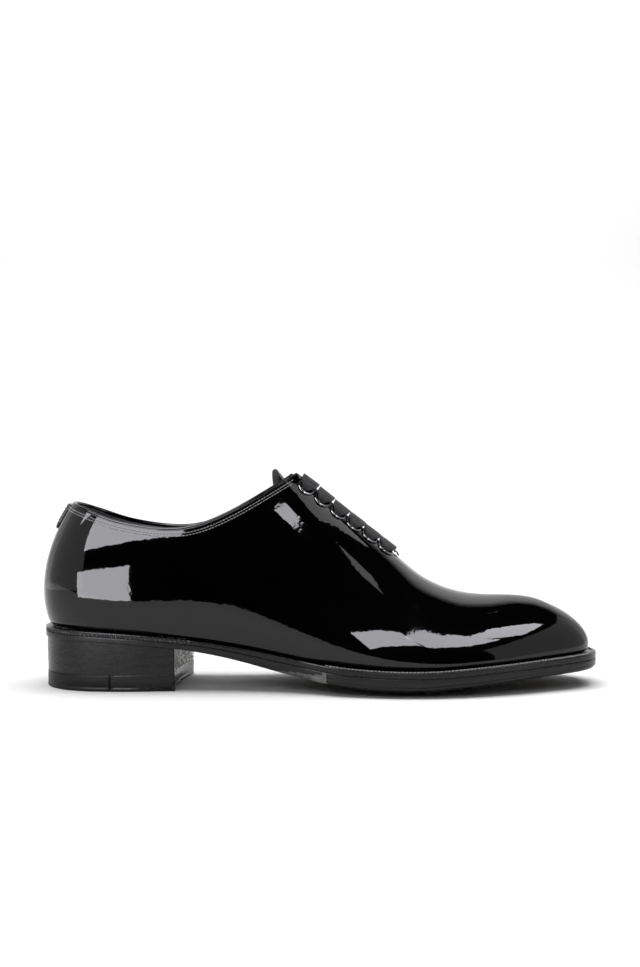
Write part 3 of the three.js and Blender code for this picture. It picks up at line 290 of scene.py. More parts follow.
def station_at(x, along):
    return solve(lambda u: along(u) < x, 0.02, 1.0)


def feather_station(side, x):
    return station_at(x, lambda u: feather(side, u)[0])


# ---------------------------------------------------------------- meshes
def make(name, verts, faces, material, uv=None, smooth=True):
    """uv is one (u, v) pair for every vertex."""
    mesh = bpy.data.meshes.new(name)
    points = [tuple(v) for v in np.asarray(verts) * MM]
    mesh.from_pydata(points, [], [tuple(int(i) for i in f) for f in faces])
    mesh.update()
    if uv is not None:
        layer = mesh.uv_layers.new(name="along")
        loops = np.empty(len(mesh.loops), np.int32)
        mesh.loops.foreach_get("vertex_index", loops)
        layer.data.foreach_set("uv", np.asarray(uv, np.float32)[loops].ravel())
    mesh.polygons.foreach_set("use_smooth", [smooth] * len(mesh.polygons))
    mesh.materials.append(material)
    piece = bpy.data.objects.new(name, mesh)
    bpy.context.scene.collection.objects.link(piece)
    return piece


def grid_faces(n, m, ring=False, tube=False, base=0):
    faces = []
    for i in range(n if ring else n - 1):
        a, b = i * m, ((i + 1) % n) * m
        for j in range(m if tube else m - 1):
            k = (j + 1) % m
            faces.append((base + a + j, base + b + j, base + b + k, base + a + k))
    return faces


def end_caps(n, m):
    """The two end faces of a tube of n rings with m points each."""
    return [tuple(range(m))[::-1], tuple((n - 1) * m + k for k in range(m))]


def weld(piece, distance=2e-6):
    bm = bmesh.new()
    bm.from_mesh(piece.data)
    bmesh.ops.remove_doubles(bm, verts=bm.verts, dist=distance)
    bmesh.ops.recalc_face_normals(bm, faces=bm.faces)
    bm.to_mesh(piece.data)
    bm.free()
    return piece


def join_parts(parts):
    """Stack (verts, faces, uv) triples into one."""
    verts, faces, uvs, base = [], [], [], 0
    for v, f, t in parts:
        v = np.asarray(v).reshape(-1, 3)
        verts.append(v)
        faces += [tuple(i + base for i in q) for q in f]
        uvs.append(np.zeros((len(v), 2)) if t is None else np.asarray(t).reshape(-1, 2))
        base += len(v)
    return np.concatenate(verts), faces, np.concatenate(uvs)


def thick(face, back, ring=False):
    """A sheet with a face, a back and walls round its edge, from two equal grids."""
    n, m = face.shape[:2]
    faces = [q[::-1] for q in grid_faces(n, m, ring)] + grid_faces(n, m, ring, base=n * m)
    border = [(i * m, (i + 1) * m) for i in range(n - 1)] + ([((n - 1) * m, 0)] if ring else [])
    for a, b in border:
        faces.append((a, b, b + n * m, a + n * m))
        faces.append((b + m - 1, a + m - 1, a + m - 1 + n * m, b + m - 1 + n * m))
    if not ring:
        for j in range(m - 1):
            faces.append((j + 1, j, j + n * m, j + 1 + n * m))
            a, b = (n - 1) * m + j, (n - 1) * m + j + 1
            faces.append((a, b, b + n * m, a + n * m))
    uv = np.stack(np.meshgrid(np.arange(n) / n, np.arange(m) / m, indexing="ij"), -1).reshape(-1, 2)
    return np.concatenate([face.reshape(-1, 3), back.reshape(-1, 3)]), faces, np.concatenate([uv, uv])


def lengths(points):
    step = np.linalg.norm(np.diff(points, axis=0), axis=-1)
    return np.concatenate([[0], np.cumsum(step)])


def mix(a, b, start, end, at):
    """From a at start to b at end, in a straight line."""
    return (end - at) / (end - start) * a + (at - start) / (end - start) * b


def catmull(points, per):
    """A smooth curve through the points, `per` steps to each span (centripetal)."""
    p = np.asarray(points, float)
    p = np.concatenate([[2 * p[0] - p[1]], p, [2 * p[-1] - p[-2]]])
    out = []
    for i in range(1, len(p) - 2):
        q = p[i - 1 : i + 3]
        chord = np.linalg.norm(np.diff(q[:, :3], axis=0), axis=1)
        t = np.concatenate([[0], np.cumsum(np.maximum(chord, 1e-6) ** 0.5)])
        for k in range(per):
            s = t[1] + (t[2] - t[1]) * k / per
            a = [mix(q[j], q[j + 1], t[j], t[j + 1], s) for j in range(3)]
            b = [mix(a[j], a[j + 1], t[j], t[j + 2], s) for j in range(2)]
            out.append(mix(b[0], b[1], t[1], t[2], s))
    out.append(p[-2])
    return np.array(out)


def tube(points, radius, sides=8, closed=False, up=(0, 0, 1)):
    """A round bar along points."""
    p = np.asarray(points, float)
    n = len(p)
    tangent = unit(np.roll(p, -1, 0) - np.roll(p, 1, 0)) if closed else unit(np.gradient(p, axis=0))
    up = np.broadcast_to(np.asarray(up, float), p.shape)
    wide = unit(np.cross(tangent, up))
    high = unit(np.cross(wide, tangent))
    r = np.broadcast_to(np.asarray(radius, float), (n,))
    a = 2 * np.pi * np.arange(sides) / sides
    c, s = np.cos(a)[None, :, None], np.sin(a)[None, :, None]
    rim = p[:, None] + r[:, None, None] * (c * wide[:, None] + s * high[:, None])
    faces = [q[::-1] for q in grid_faces(n, sides, ring=closed, tube=True)]
    if not closed:
        faces += [tuple(range(sides)), tuple((n - 1) * sides + k for k in range(sides))[::-1]]
    uv = np.stack(np.broadcast_arrays(lengths(p)[:, None], np.arange(sides)[None] / sides), -1)
    return rim.reshape(-1, 3), faces, uv.reshape(-1, 2)


def stitches(path, normals, pitch, length, radius, lift, tilt=0.0, sink=0.25):
    """Short thread loops laid end to end along a path, each dipping in at both ends."""
    s = lengths(path)
    count = int(s[-1] // pitch)
    parts = []
    for k in range(count):
        mid = (k + 0.5) * s[-1] / count
        at = np.linspace(mid - length / 2, mid + length / 2, 7)
        p = np.stack([np.interp(at, s, path[:, i]) for i in range(3)], -1)
        n = unit(np.stack([np.interp(at, s, normals[:, i]) for i in range(3)], -1))
        across = unit(np.cross(n, unit(np.gradient(p, axis=0))))
        share = np.linspace(-1, 1, 7)
        dip = (1 - share**4) * (lift + sink) - sink
        p = p + n * dip[:, None] + across * (share * tilt)[:, None]
        r = radius * (0.72 + 0.28 * np.sqrt(1 - share**2))
        v, f, t = tube(p, r, 6, up=n[3])
        parts.append((v, f, t))
    return join_parts(parts)


# ---------------------------------------------------------------- materials
class Nodes:
    """A short way to wire a Principled material from object or UV coordinates."""

    def __init__(self, name, **constants):
        self.mat = bpy.data.materials.new(name)
        self.mat.use_nodes = True
        self.tree = self.mat.node_tree
        self.shader = self.tree.nodes["Principled BSDF"]
        self.coords = self.add("ShaderNodeTexCoord")
        for key, value in constants.items():
            self.shader.inputs[key.replace("_", " ")].default_value = value

    def add(self, kind, **props):
        node = self.tree.nodes.new(kind)
        for key, value in props.items():
            setattr(node, key, value)
        return node

    def link(self, a, b):
        self.tree.links.new(a, b)

    def stretch(self, scale, source="Object"):
        m = self.add("ShaderNodeMapping")
        m.inputs["Scale"].default_value = scale if isinstance(scale, tuple) else (scale,) * 3
        self.link(self.coords.outputs[source], m.inputs["Vector"])
        return m.outputs["Vector"]

    def noise(self, scale, detail=3.0, rough=0.55, vector=None):
        n = self.add("ShaderNodeTexNoise")
        n.inputs["Scale"].default_value = scale
        n.inputs["Detail"].default_value = detail
        n.inputs["Roughness"].default_value = rough
        self.link(vector or self.coords.outputs["Object"], n.inputs["Vector"])
        return n.outputs["Fac"]

    def cells(self, scale, feature="F1", vector=None):
        n = self.add("ShaderNodeTexVoronoi", feature=feature)
        n.inputs["Scale"].default_value = scale
        self.link(vector or self.coords.outputs["Object"], n.inputs["Vector"])
        return n.outputs["Distance"]

    def waves(self, scale, distortion=0.0, vector=None, direction="X", detail=0.0):
        n = self.add("ShaderNodeTexWave", bands_direction=direction)
        n.inputs["Scale"].default_value = scale
        n.inputs["Distortion"].default_value = distortion
        n.inputs["Detail"].default_value = detail
        self.link(vector or self.coords.outputs["Object"], n.inputs["Vector"])
        return n.outputs["Fac"]

    def ramp(self, value, low, high, start=0.35, end=0.65):
        n = self.add("ShaderNodeMapRange")
        self.link(value, n.inputs["Value"])
        for key, v in (("From Min", start), ("From Max", end), ("To Min", low), ("To Max", high)):
            n.inputs[key].default_value = v
        return n.outputs["Result"]

    def math(self, kind, a, b):
        n = self.add("ShaderNodeMath", operation=kind)
        for i, v in enumerate((a, b)):
            if isinstance(v, (int, float)):
                n.inputs[i].default_value = v
            else:
                self.link(v, n.inputs[i])
        return n.outputs[0]

    def colour(self, value, low, high):
        n = self.add("ShaderNodeValToRGB")
        n.color_ramp.elements[0].position, n.color_ramp.elements[1].position = 0.35, 0.65
        n.color_ramp.elements[0].color, n.color_ramp.elements[1].color = (*low, 1), (*high, 1)
        self.link(value, n.inputs["Fac"])
        self.link(n.outputs["Color"], self.shader.inputs["Base Color"])

    def rough(self, value):
        self.link(value, self.shader.inputs["Roughness"])

    def bump(self, height, distance, strength=1.0, before=None):
        n = self.add("ShaderNodeBump")
        n.inputs["Strength"].default_value = strength
        n.inputs["Distance"].default_value = distance
        self.link(height, n.inputs["Height"])
        if before:
            self.link(before, n.inputs["Normal"])
        self.link(n.outputs["Normal"], self.shader.inputs["Normal"])
        return n.outputs["Normal"]


def patent():
    m = Nodes("patent leather", IOR=1.43)
    m.colour(m.noise(9), (0.0006, 0.0006, 0.0007), (0.0014, 0.0013, 0.0015))
    dust = m.noise(900, 2, 0.7)
    smear = m.noise(38, 4, 0.6)
    m.rough(m.math("ADD", m.ramp(smear, 0.018, 0.045), m.ramp(dust, 0.0, 0.04, 0.62, 0.75)))
    soft = m.bump(m.noise(75, 2, 0.5), 0.0003, 0.22)
    m.bump(m.noise(420, 1, 0.4), 0.00004, 0.4, soft)
    return m.mat


def edge_ink(name, low=0.16, high=0.34, tone=0.006, grain=0.00006, ior=1.38):
    m = Nodes(name, IOR=ior)
    m.colour(m.noise(120, 4), (tone * 0.7, tone * 0.66, tone * 0.62), (tone * 1.7, tone * 1.55, tone * 1.45))
    fibre = m.noise(1.0, 5, 0.7, m.stretch((260, 260, 1500)))
    m.rough(m.ramp(fibre, low, high, 0.3, 0.7))
    m.bump(fibre, grain, 0.8)
    return m.mat


def flesh(name, low, high, rough=(0.6, 0.85), scale=520, bump=0.00012):
    m = Nodes(name, IOR=1.45)
    m.colour(m.noise(60, 5, 0.65), low, high)
    grain = m.math("ADD", m.cells(scale), m.noise(scale * 1.7, 3))
    m.rough(m.ramp(grain, *rough, 0.4, 1.2))
    m.bump(grain, bump, 0.7)
    return m.mat


def veined(name):
    """Sanded heel leather: pale and mottled, with dark broken veins."""
    m = Nodes(name, IOR=1.45)
    warp = m.noise(90, 4, 0.6)
    vein = m.noise(1.0, 6, 0.62, m.stretch((230, 230, 330)))
    broken = m.ramp(m.math("ABSOLUTE", m.math("SUBTRACT", vein, 0.5), 0.0), 0.0, 1.0, 0.004, 0.05)
    mottled = m.math("MULTIPLY", broken, m.ramp(warp, 0.45, 1.0, 0.3, 0.6))
    m.colour(mottled, (0.03, 0.029, 0.028), (0.85, 0.83, 0.81))
    m.rough(m.ramp(vein, 0.5, 0.75))
    m.bump(m.math("ADD", broken, m.noise(700, 3)), 0.0003, 0.7)
    return m.mat


def metal(name, low, high, rough=(0.18, 0.34), scratch=700):
    m = Nodes(name, Metallic=1.0)
    m.colour(m.noise(180, 4), low, high)
    worn = m.noise(1.0, 4, 0.6, m.stretch((scratch, scratch * 0.1, scratch)))
    m.rough(m.ramp(worn, *rough))
    m.bump(worn, 0.000015, 0.5)
    return m.mat


def thread(name, low, high, rough=0.5):
    m = Nodes(name, IOR=1.5)
    m.colour(m.noise(1500, 2), low, high)
    twist = m.waves(1.0, 0.6, m.stretch((2.6, 2.0, 1), "UV"), "DIAGONAL")
    m.shader.inputs["Roughness"].default_value = rough
    m.shader.inputs["Sheen Weight"].default_value = 0.25
    m.bump(twist, 0.00008, 0.6)
    return m.mat


def grosgrain(name):
    """Ribbon: fine ribs across its width, crossed by finer yarn lines. UV is millimetres along and across."""
    m = Nodes(name, IOR=1.45)
    ribs = m.waves(1.0, 0.12, m.stretch((0.5, 0.02, 1), "UV"), "X")
    yarn = m.waves(1.0, 0.3, m.stretch((0.08, 0.62, 1), "UV"), "Y")
    cloth = m.math("ADD", m.math("MULTIPLY", ribs, 0.7), m.math("MULTIPLY", yarn, 0.3))
    uneven = m.math("ADD", m.math("MULTIPLY", cloth, 0.6), m.math("MULTIPLY", m.noise(700, 3), 0.4))
    m.colour(uneven, (0.0006, 0.0006, 0.0007), (0.015, 0.0147, 0.016))
    m.rough(m.ramp(m.noise(300, 3), 0.42, 0.66))
    m.shader.inputs["Sheen Weight"].default_value = 0.15
    m.shader.inputs["Sheen Roughness"].default_value = 0.35
    m.bump(m.math("ADD", cloth, m.noise(1300, 3, 0.6)), 0.0004, 1.0)
    return m.mat


def rubber(name):
    m = Nodes(name, IOR=1.3)
    m.colour(m.noise(90, 4), (0.0015, 0.0015, 0.0015), (0.003, 0.003, 0.003))
    m.rough(m.ramp(m.noise(1400, 2), 0.34, 0.5))
    m.bump(m.math("ADD", m.noise(1400, 2), m.noise(240, 2)), 0.00005, 0.6)
    return m.mat


def cork(name):
    m = Nodes(name, IOR=1.4)
    m.colour(m.cells(420), (0.16, 0.085, 0.035), (0.42, 0.26, 0.13))
    m.shader.inputs["Roughness"].default_value = 0.9
    m.bump(m.cells(420), 0.0004, 0.8)
    return m.mat


def plain_plastic(name):
    m = Nodes(name, IOR=1.46)
    m.colour(m.noise(200), (0.006, 0.006, 0.006), (0.012, 0.012, 0.012))
    m.rough(m.ramp(m.noise(800, 2), 0.2, 0.3))
    m.bump(m.noise(300, 1), 0.00002, 0.4)
    return m.mat


PATENT = patent()
WELT_INK = edge_ink("welt leather", 0.2, 0.34, 0.0025, 0.00004)
SOLE_INK = edge_ink("sole edge ink", 0.24, 0.4, 0.0025, 0.00004)
HEEL_INK = edge_ink("heel edge ink", 0.2, 0.36, 0.0025, 0.00004)
# Lighter ink for the rand's rib crests: painted highlight, standing in for the glints on the ribs.
RIB_CREST_HIGHLIGHT_INK = edge_ink("rib crests painted highlight", 0.26, 0.4, 0.06, 0.00002, 1.5)
BREAST_MAT = veined("heel breast leather")
# Light grey on the rasped waist facet: the grain and roughness are the leather's own, the light grey is
# painted highlight.
WAIST_FACET_HIGHLIGHT_MAT = flesh("rasped waist facet painted highlight", (0.02, 0.02, 0.02), (0.22, 0.215, 0.21), (0.35, 0.6), 900, 0.0002)
BOTTOM_MAT = flesh("sole leather", (0.011, 0.0095, 0.0085), (0.028, 0.024, 0.021), (0.38, 0.62), 380, 0.00008)
RUBBER = rubber("heel rubber")
LINING_MAT = flesh("lining leather", (0.016, 0.0155, 0.017), (0.034, 0.032, 0.034), (0.55, 0.75), 620, 0.0001)
SUEDE = flesh("heel grip suede", (0.014, 0.0135, 0.0145), (0.04, 0.038, 0.04), (0.85, 0.98), 1500, 0.0002)
BOARD = flesh("insole leather", (0.2, 0.12, 0.065), (0.36, 0.23, 0.13), (0.6, 0.8), 300, 0.0001)
STIFF = flesh("stiffener board", (0.24, 0.18, 0.12), (0.4, 0.32, 0.22), (0.7, 0.9), 500, 0.0001)
CORK = cork("cork filler")
STEEL = metal("shank steel", (0.3, 0.31, 0.33), (0.5, 0.51, 0.53))
BRASS = metal("nail brass", (0.36, 0.25, 0.1), (0.62, 0.46, 0.2))
GUNMETAL = metal("eyelet gunmetal", (0.12, 0.12, 0.125), (0.26, 0.26, 0.265), (0.12, 0.26), 500)
RIBBON = grosgrain("lace ribbon")
BINDING_MAT = grosgrain("tongue binding ribbon")
BLACK_THREAD = thread("upper thread", (0.012, 0.012, 0.013), (0.04, 0.039, 0.042), 0.38)
TACK_THREAD = thread("tack thread", (0.002, 0.002, 0.002), (0.008, 0.008, 0.008), 0.75)
WELT_THREAD = thread("welt thread", (0.22, 0.215, 0.22), (0.5, 0.49, 0.5), 0.42)
# The topline thread's light grey stands for its shine: painted highlight on a dark thread.
TOPLINE_THREAD_HIGHLIGHT = thread("topline thread painted highlight", (0.16, 0.158, 0.162), (0.42, 0.415, 0.425), 0.36)
PLASTIC = plain_plastic("aglet plastic")
CANVAS = thread("rib canvas", (0.3, 0.28, 0.24), (0.5, 0.47, 0.4), 0.8)


def pieces(*objects, body="shoe", slot=None, replaces=()):
    for o in objects:
        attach(o, body)
    if replaces:
        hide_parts(*replaces)


# ---------------------------------------------------------------- the upper
def columns(knots, spacing):
    """Stations between the knots, each span cut evenly to about `spacing` in index units."""
    out = []
    for a, b in zip(knots[:-1], knots[1:]):
        n = max(1, int(round((b - a) * N / spacing)))
        out += list(np.linspace(a, b, n + 1)[:-1])
    return np.array(out + [knots[-1]])


def both_sides(us):
    """Stations down the outer side to the heel and up the inner one: (side, u)."""
    side = np.concatenate([-np.ones(len(us)), np.ones(len(us) - 1)])
    return side, np.concatenate([us[::-1], us[1:]])


US = np.concatenate([
    columns([0, 2 / N, 5 / N, CORNER], 0.075)[:-1],
    columns([CORNER, THROAT], 0.026)[:-1],
    columns([THROAT, THROAT + 0.4 / N], 0.03)[:-1],
    columns([THROAT + 0.4 / N, 12 / N, 1.0], 0.075),
])
RING_SIDE, RING_U = (values[:-1] for values in both_sides(US))


def wall(side, u, shares, depth):
    """Points on the wall: u down the rows, shares (0 feather, 1 topline) along them."""
    top = topline_at(side, u)[:, None]
    t = LOW_T + (top - LOW_T) * np.asarray(shares)[None]
    t = np.where(np.asarray(shares)[None] >= 1, top, t)
    return surface(side[:, None], u[:, None], t, np.broadcast_to(depth, t.shape))


def facing_point(side, x, inset):
    """Where the line `inset` mm in from the gap reaches the given x."""
    def share(u):
        end = last_point(side, u, 1.0)

        def beyond(t):
            return np.linalg.norm(last_point(side, u, t) - end, axis=-1) > inset

        return bisect(beyond, x, 0.6, 1.0, 30)

    u = bisect(lambda v: last_point(side, v, share(v))[..., 0] < x, x, 0.02, 1.0, 36)
    return u, share(u)


def eyelet_row(side):
    x = EYELET_FIRST + np.arange(EYELETS) * EYELET_STEP
    u, t = facing_point(side, x, EYELET_INSET)
    at, n = last_point(side, u, t), last_normal(side, u, t)
    along = unit(last_point(side, *facing_point(side, x + 0.5, EYELET_INSET)) - at)
    along = unit(along - n * (along * n).sum(-1, keepdims=True))
    inward = np.cross(n, along) * (1 if side < 0 else -1)
    found = dict(u=u, t=t, at=at, n=n, along=along, inward=inward)
    return [dict(side=side, **{key: value[k] for key, value in found.items()}) for k in range(EYELETS)]


eyelets = [eyelet_row(side) for side in (-1, 1)]

ROWS = 76
EYELET_HOLE = EYELET_BORE + 0.45
outer = wall(RING_SIDE, RING_U, np.linspace(0, 1, ROWS), 0.0)


def feather_edge(side, u):
    """The rounded edge and the margin turned in, from inside to the wall's first row."""
    def floor(m):
        p = around(side, u, np.full(u.shape, -float(m)))
        return np.concatenate([p, (sole_top(p[:, 0], p[:, 1]) + GAP)[:, None]], 1)

    a, b = floor(3), floor(0)
    c = surface(side, u, np.full(u.shape, LOW_T), np.zeros(u.shape))
    out = [floor(LASTING_MARGIN), floor(6)]
    for s in np.linspace(0, 1, 7)[:-1]:
        out.append(a * (1 - s) ** 2 + b * 2 * s * (1 - s) + c * s * s)
    return np.stack(out, 1)


shell = np.concatenate([feather_edge(RING_SIDE, RING_U), outer], 1)
n_col, n_row = shell.shape[:2]
centres = np.array([e["at"] for row in eyelets for e in row])
faces = grid_faces(n_col, n_row, ring=True)
flat = shell.reshape(-1, 3)
mid = flat[np.array(faces)].mean(1)
near = (np.linalg.norm(mid[:, None] - centres[None], axis=-1) < EYELET_HOLE).any(1)
faces = [q[::-1] for q, cut in zip(faces, near) if not cut]
upper = make("upper_patent", flat, faces, PATENT)
weld(upper)
pieces(upper, slot="patent_leather", replaces=("upper",))


# The folded edge: one roll of leather round the whole opening, facings and topline.
back = columns([0, 2 / N, 5 / N, CORNER], 0.03)
side, u = both_sides(np.concatenate([back, columns([CORNER, THROAT - 0.02 / N], 0.02)[1:]]))
t = topline_at(side, u)
edge = surface(side, u, t, np.full(t.shape, 0.55))
v, f, uv = tube(edge, 0.66, 8, closed=True, up=last_normal(side, u, t))
roll = make("topline_fold", v, f, PATENT, uv)
pieces(roll, slot="patent_leather")

# The bead along the topline, behind the facings.
b_side, b_u = both_sides(columns([0, 2 / N, 5 / N, CORNER - 0.004], 0.04))
b_t = topline_at(b_side, b_u)
top_edge = last_point(b_side, b_u, b_t)
run = unit(np.gradient(top_edge, axis=0))
rise = unit(top_edge - last_point(b_side, b_u, b_t - 0.02))
rise = unit(rise - run * (rise * run).sum(-1, keepdims=True))
bead_line = surface(b_side, b_u, b_t, np.full(b_t.shape, 1.25)) + rise * 0.95
v, f, uv = tube(bead_line, 1.05, 10, up=rise)
bead = make("topline_bead_piece", v, f, PATENT, uv)
pieces(bead, slot="patent_leather", replaces=("topline_bead",))


# ---------------------------------------------------------------- linings
LINING_DEPTH = UPPER + GAP + STIFFENER + GAP
STIFF_DEPTH = UPPER + GAP
q_back = columns([0, 2 / N, 5 / N, CORNER], 0.12)[:-1]
q_side, q_u = both_sides(np.concatenate([q_back, columns([CORNER, THROAT - 0.12 / N], 0.035)]))
q_rows = np.concatenate([np.linspace(0, 0.75, 22), np.linspace(0.76, 0.995, 34)])
near_top = blend(0.75, 1, q_rows)[None] * (1 - blend(5.5 / N, CORNER, q_u))[:, None]
q_depth = LINING_DEPTH - (LINING_DEPTH - STIFF_DEPTH) * near_top
v, f, uv = thick(wall(q_side, q_u, q_rows, q_depth), wall(q_side, q_u, q_rows, q_depth + LINING))

# Faces near an eyelet's axis are left out, for its barrel.
mids = v[np.array([q[:4] for q in f])].mean(1)
axes = np.array([e["n"] for row in eyelets for e in row])
rel = mids[:, None] - centres[None]
out = rel - axes[None] * (rel * axes[None]).sum(-1, keepdims=True)
keep = (np.linalg.norm(out, axis=-1) > EYELET_HOLE) | (np.linalg.norm(rel, axis=-1) > 9)
f = [q for q, k in zip(f, keep.all(1)) if k]
quarter = weld(make("quarter_lining_leather", v, f, LINING_MAT, uv))
pieces(quarter, slot="lining_leather", replaces=("quarter_lining",))

g_side, g_u = both_sides(columns([0, 2.5 / N], 0.08))
g_top = topline_at(g_side, g_u)
share_top = 1.0 + 0.012 - 0.13 * blend(0.1, 0.155, g_u)
g_shares = 0.25 + (share_top[:, None] - 0.25) * np.linspace(0, 1, 30)[None]
g_t = LOW_T + (g_top[:, None] - LOW_T) * g_shares
g_depth = LINING_DEPTH + LINING + GAP - 0.9 * blend(0.8, 1.0, g_shares)
face = surface(g_side[:, None], g_u[:, None], g_t, g_depth)
rear = surface(g_side[:, None], g_u[:, None], g_t, g_depth + 0.8)
v, f, uv = thick(face, rear)
grip = make("heel_grip_suede", v, f, SUEDE, uv)
bevel = grip.modifiers.new("round", "BEVEL")
bevel.width, bevel.segments, bevel.limit_method = 0.0003, 2, "ANGLE"
pieces(grip, slot="lining_leather", replaces=("heel_grip",))


# ---------------------------------------------------------------- the sole unit
def plate(name, edge, z_top, z_bottom, material, us, across=24):
    """A plate with the shoe's outline."""
    face, back = [], []
    for u in us:
        a, b = edge(-1, u), edge(1, u)
        s = np.linspace(0, 1, across)[:, None]
        p = a[None] * (1 - s) + b[None] * s
        z1, z0 = z_top(p[:, 0], p[:, 1]), z_bottom(p[:, 0], p[:, 1])
        face.append(np.concatenate([p, z1[:, None]], 1))
        back.append(np.concatenate([p, z0[:, None]], 1))
    v, f, uv = thick(np.array(face), np.array(back))
    return weld(make(name, v, f, material, v[:, :2] / 10))


SOLE_US = columns([0, 2 / N, 13 / N, 1.0], 0.1)
SOLE_US = np.unique(np.concatenate([SOLE_US, columns([0, 0.02], 0.03), columns([1 - 0.02, 1.0], 0.03)]))


def sweep(name, cols, profile, material, ring=False, smooth=True):
    """profile(side, u, x) gives rows of (out, z) pairs round the outline's section."""
    rows = []
    for s, u in cols:
        x = feather(s, u)[0]
        rows.append([[*around(s, u, o), z] for o, z in profile(s, u, x)])
    p = np.array(rows)
    n, m = p.shape[:2]
    faces = [q[::-1] for q in grid_faces(n, m, ring, tube=True)]
    if not ring:
        faces += end_caps(n, m)
    run = lengths(p[:, 0])
    turn = np.arange(m) / m
    uv = np.stack(np.broadcast_arrays(run[:, None], turn[None]), -1).reshape(-1, 2)
    return make(name, p.reshape(-1, 3), faces, material, uv, smooth)


def level(side, u, out, z):
    """Height above the flat sheet at a given outset: z is a function of (x, y)."""
    p = around(side, u, float(out))
    return float(z(p[0], p[1]))


def welt_bottom(x, y):
    return sole_top(x, y) - welt_thickness(x)


WELT_BREAK = -71.0
w_lat, w_med = feather_station(-1, WELT_BREAK), feather_station(1, WELT_BREAK)
JOINT = 0.0005  # the gap between welt and rand, in stations
STITCH_INSET, GROOVE_DEPTH = 1.95, 0.28
toe_cols = [(-1, u) for u in columns([w_lat, 13 / N, 1.0], 0.08)]
toe_cols += [(1, u) for u in columns([w_med, 13 / N, 1.0], 0.08)[::-1][1:]]


def welt_profile(s, u, x):
    o = edge_out(s, x)
    top, low = level(s, u, o, sole_top), level(s, u, o, welt_bottom)
    inner_top = level(s, u, -LASTING_MARGIN, sole_top)
    inner_low = inner_top - float(welt_thickness(x))
    r = 0.45
    forepart = float(blend(-8, 10, x)) if s < 0 else float(blend(8, 26, x))
    groove = GROOVE_DEPTH * forepart
    return [(-LASTING_MARGIN, inner_low), (-LASTING_MARGIN, inner_top),
            (-1.0, level(s, u, -1.0, sole_top)), (o - 2.7, level(s, u, o - 2.7, sole_top)),
            (o - STITCH_INSET - 0.4, top - groove * 0.5), (o - STITCH_INSET, top - groove),
            (o - 1.5, top - groove * 0.5), (o - 1.15, top),
            (o - r, top), (o - r * 0.3, top - r * 0.25), (o, top - r), (o, top - r - 0.3),
            (o, low + 0.7), (o, low + 0.3), (o - 0.22, low + 0.06), (o - 0.7, low)]


welt = sweep("welt_strip", toe_cols, welt_profile, WELT_INK)
pieces(welt, slot="sole_leather", replaces=("welt",))

heel_us = columns([0, w_lat - JOINT], 0.0085)
heel_us_m = columns([0, w_med - JOINT], 0.0085)
heel_cols = [(-1, u) for u in heel_us[::-1]] + [(1, u) for u in heel_us_m[1:]]
heel_run = np.concatenate([[0], np.cumsum([np.linalg.norm(around(a[0], a[1], 2.0) - around(b[0], b[1], 2.0))
                                           for a, b in zip(heel_cols[:-1], heel_cols[1:])])])
RIB_PITCH, RIB_DEPTH = 1.2, 0.3
RIB_HIGHLIGHT_FACES = (7, 8)  # faces of the rand's section that lie on a rib and get the painted highlight
RIB_HIGHLIGHT_STRIDE = 11  # the section has 12 faces, so the marked ones wander round it from column to column
rib_phase = {c: math.cos(2 * math.pi * r / RIB_PITCH) for c, r in zip(heel_cols, heel_run)}


def rand_profile(s, u, x):
    o = edge_out(s, x)
    top = level(s, u, o, sole_top)
    low = top - float(welt_thickness(x))
    inner_top = level(s, u, -LASTING_MARGIN, sole_top)
    r = 0.5
    rib = RIB_DEPTH * (0.5 + 0.5 * rib_phase[(s, u)])
    return [(-LASTING_MARGIN, inner_top - RAND_T), (-LASTING_MARGIN, inner_top),
            (-1.0, level(s, u, -1.0, sole_top)),
            (o - r - 0.4, top), (o - r * 0.3, top - r * 0.25), (o, top - r), (o - 0.02, top - 0.7),
            (o - 0.34 + rib, top - 0.85), (o - 0.3 + rib, top - 1.2), (o - 0.3 + rib, low + 0.3),
            (o - 0.34 + rib, low + 0.06), (o - 0.7, low)]


rand = sweep("heel_rand_strip", heel_cols, rand_profile, WELT_INK)
# The faces on the rib crests get the lighter ink: the crests' glints are painted into their colour as painted
# highlight.
rand.data.materials.append(RIB_CREST_HIGHLIGHT_INK)
for i, column in enumerate(heel_cols[:-1]):
    if rib_phase[column] > 0.1:
        for j in RIB_HIGHLIGHT_FACES:
            rand.data.polygons[i * RIB_HIGHLIGHT_STRIDE + j].material_index = 1
pieces(rand, slot="sole_leather", replaces=("heel_rand",))

all_cols = [(-1, u) for u in SOLE_US[::-1]] + [(1, u) for u in SOLE_US[1:-1]]
BEVEL, LID_INSET, SOLE_JOINT = 1.4, 3.0, 0.12


def bottom_z(x, y, inset):
    return sole_bottom(x, y) + (BEVEL * 0.9 * blend(-60, -10, x) if inset == 0 else 0)


def sole_side(s, u):
    """The outsole's edge from its top face round to its tread: (out, z) pairs."""
    x = feather(s, u)[0]
    o = float(edge_out(s, x))
    top = level(s, u, o, welt_bottom) - SOLE_JOINT
    low = level(s, u, o, lambda a, b: bottom_z(a, b, 0))
    inner = level(s, u, o - BEVEL, lambda a, b: bottom_z(a, b, 1))
    fore = float(blend(-30, 0, x))
    h = top - low
    bead = min(1.15, h * 0.3)
    round_waist = (1 - fore) * (0.35 if x > -72 else 0)
    return [(o - LID_INSET, top), (o - 0.5, top), (o - 0.1, top - 0.04), (o, top - 0.16), (o, top - 0.45),
            (o + 0.04 * fore, low + h * 0.62), (o - round_waist * 0.4, low + bead * 1.6),
            (o - 0.28 * fore - round_waist, low + bead * 1.12),
            (o - 0.05 * fore - round_waist, low + bead * 0.7), (o - 0.1 - round_waist * 1.6, low + 0.1),
            (o - 0.55 - round_waist, low * 0.7 + inner * 0.3), (o - BEVEL, inner)]


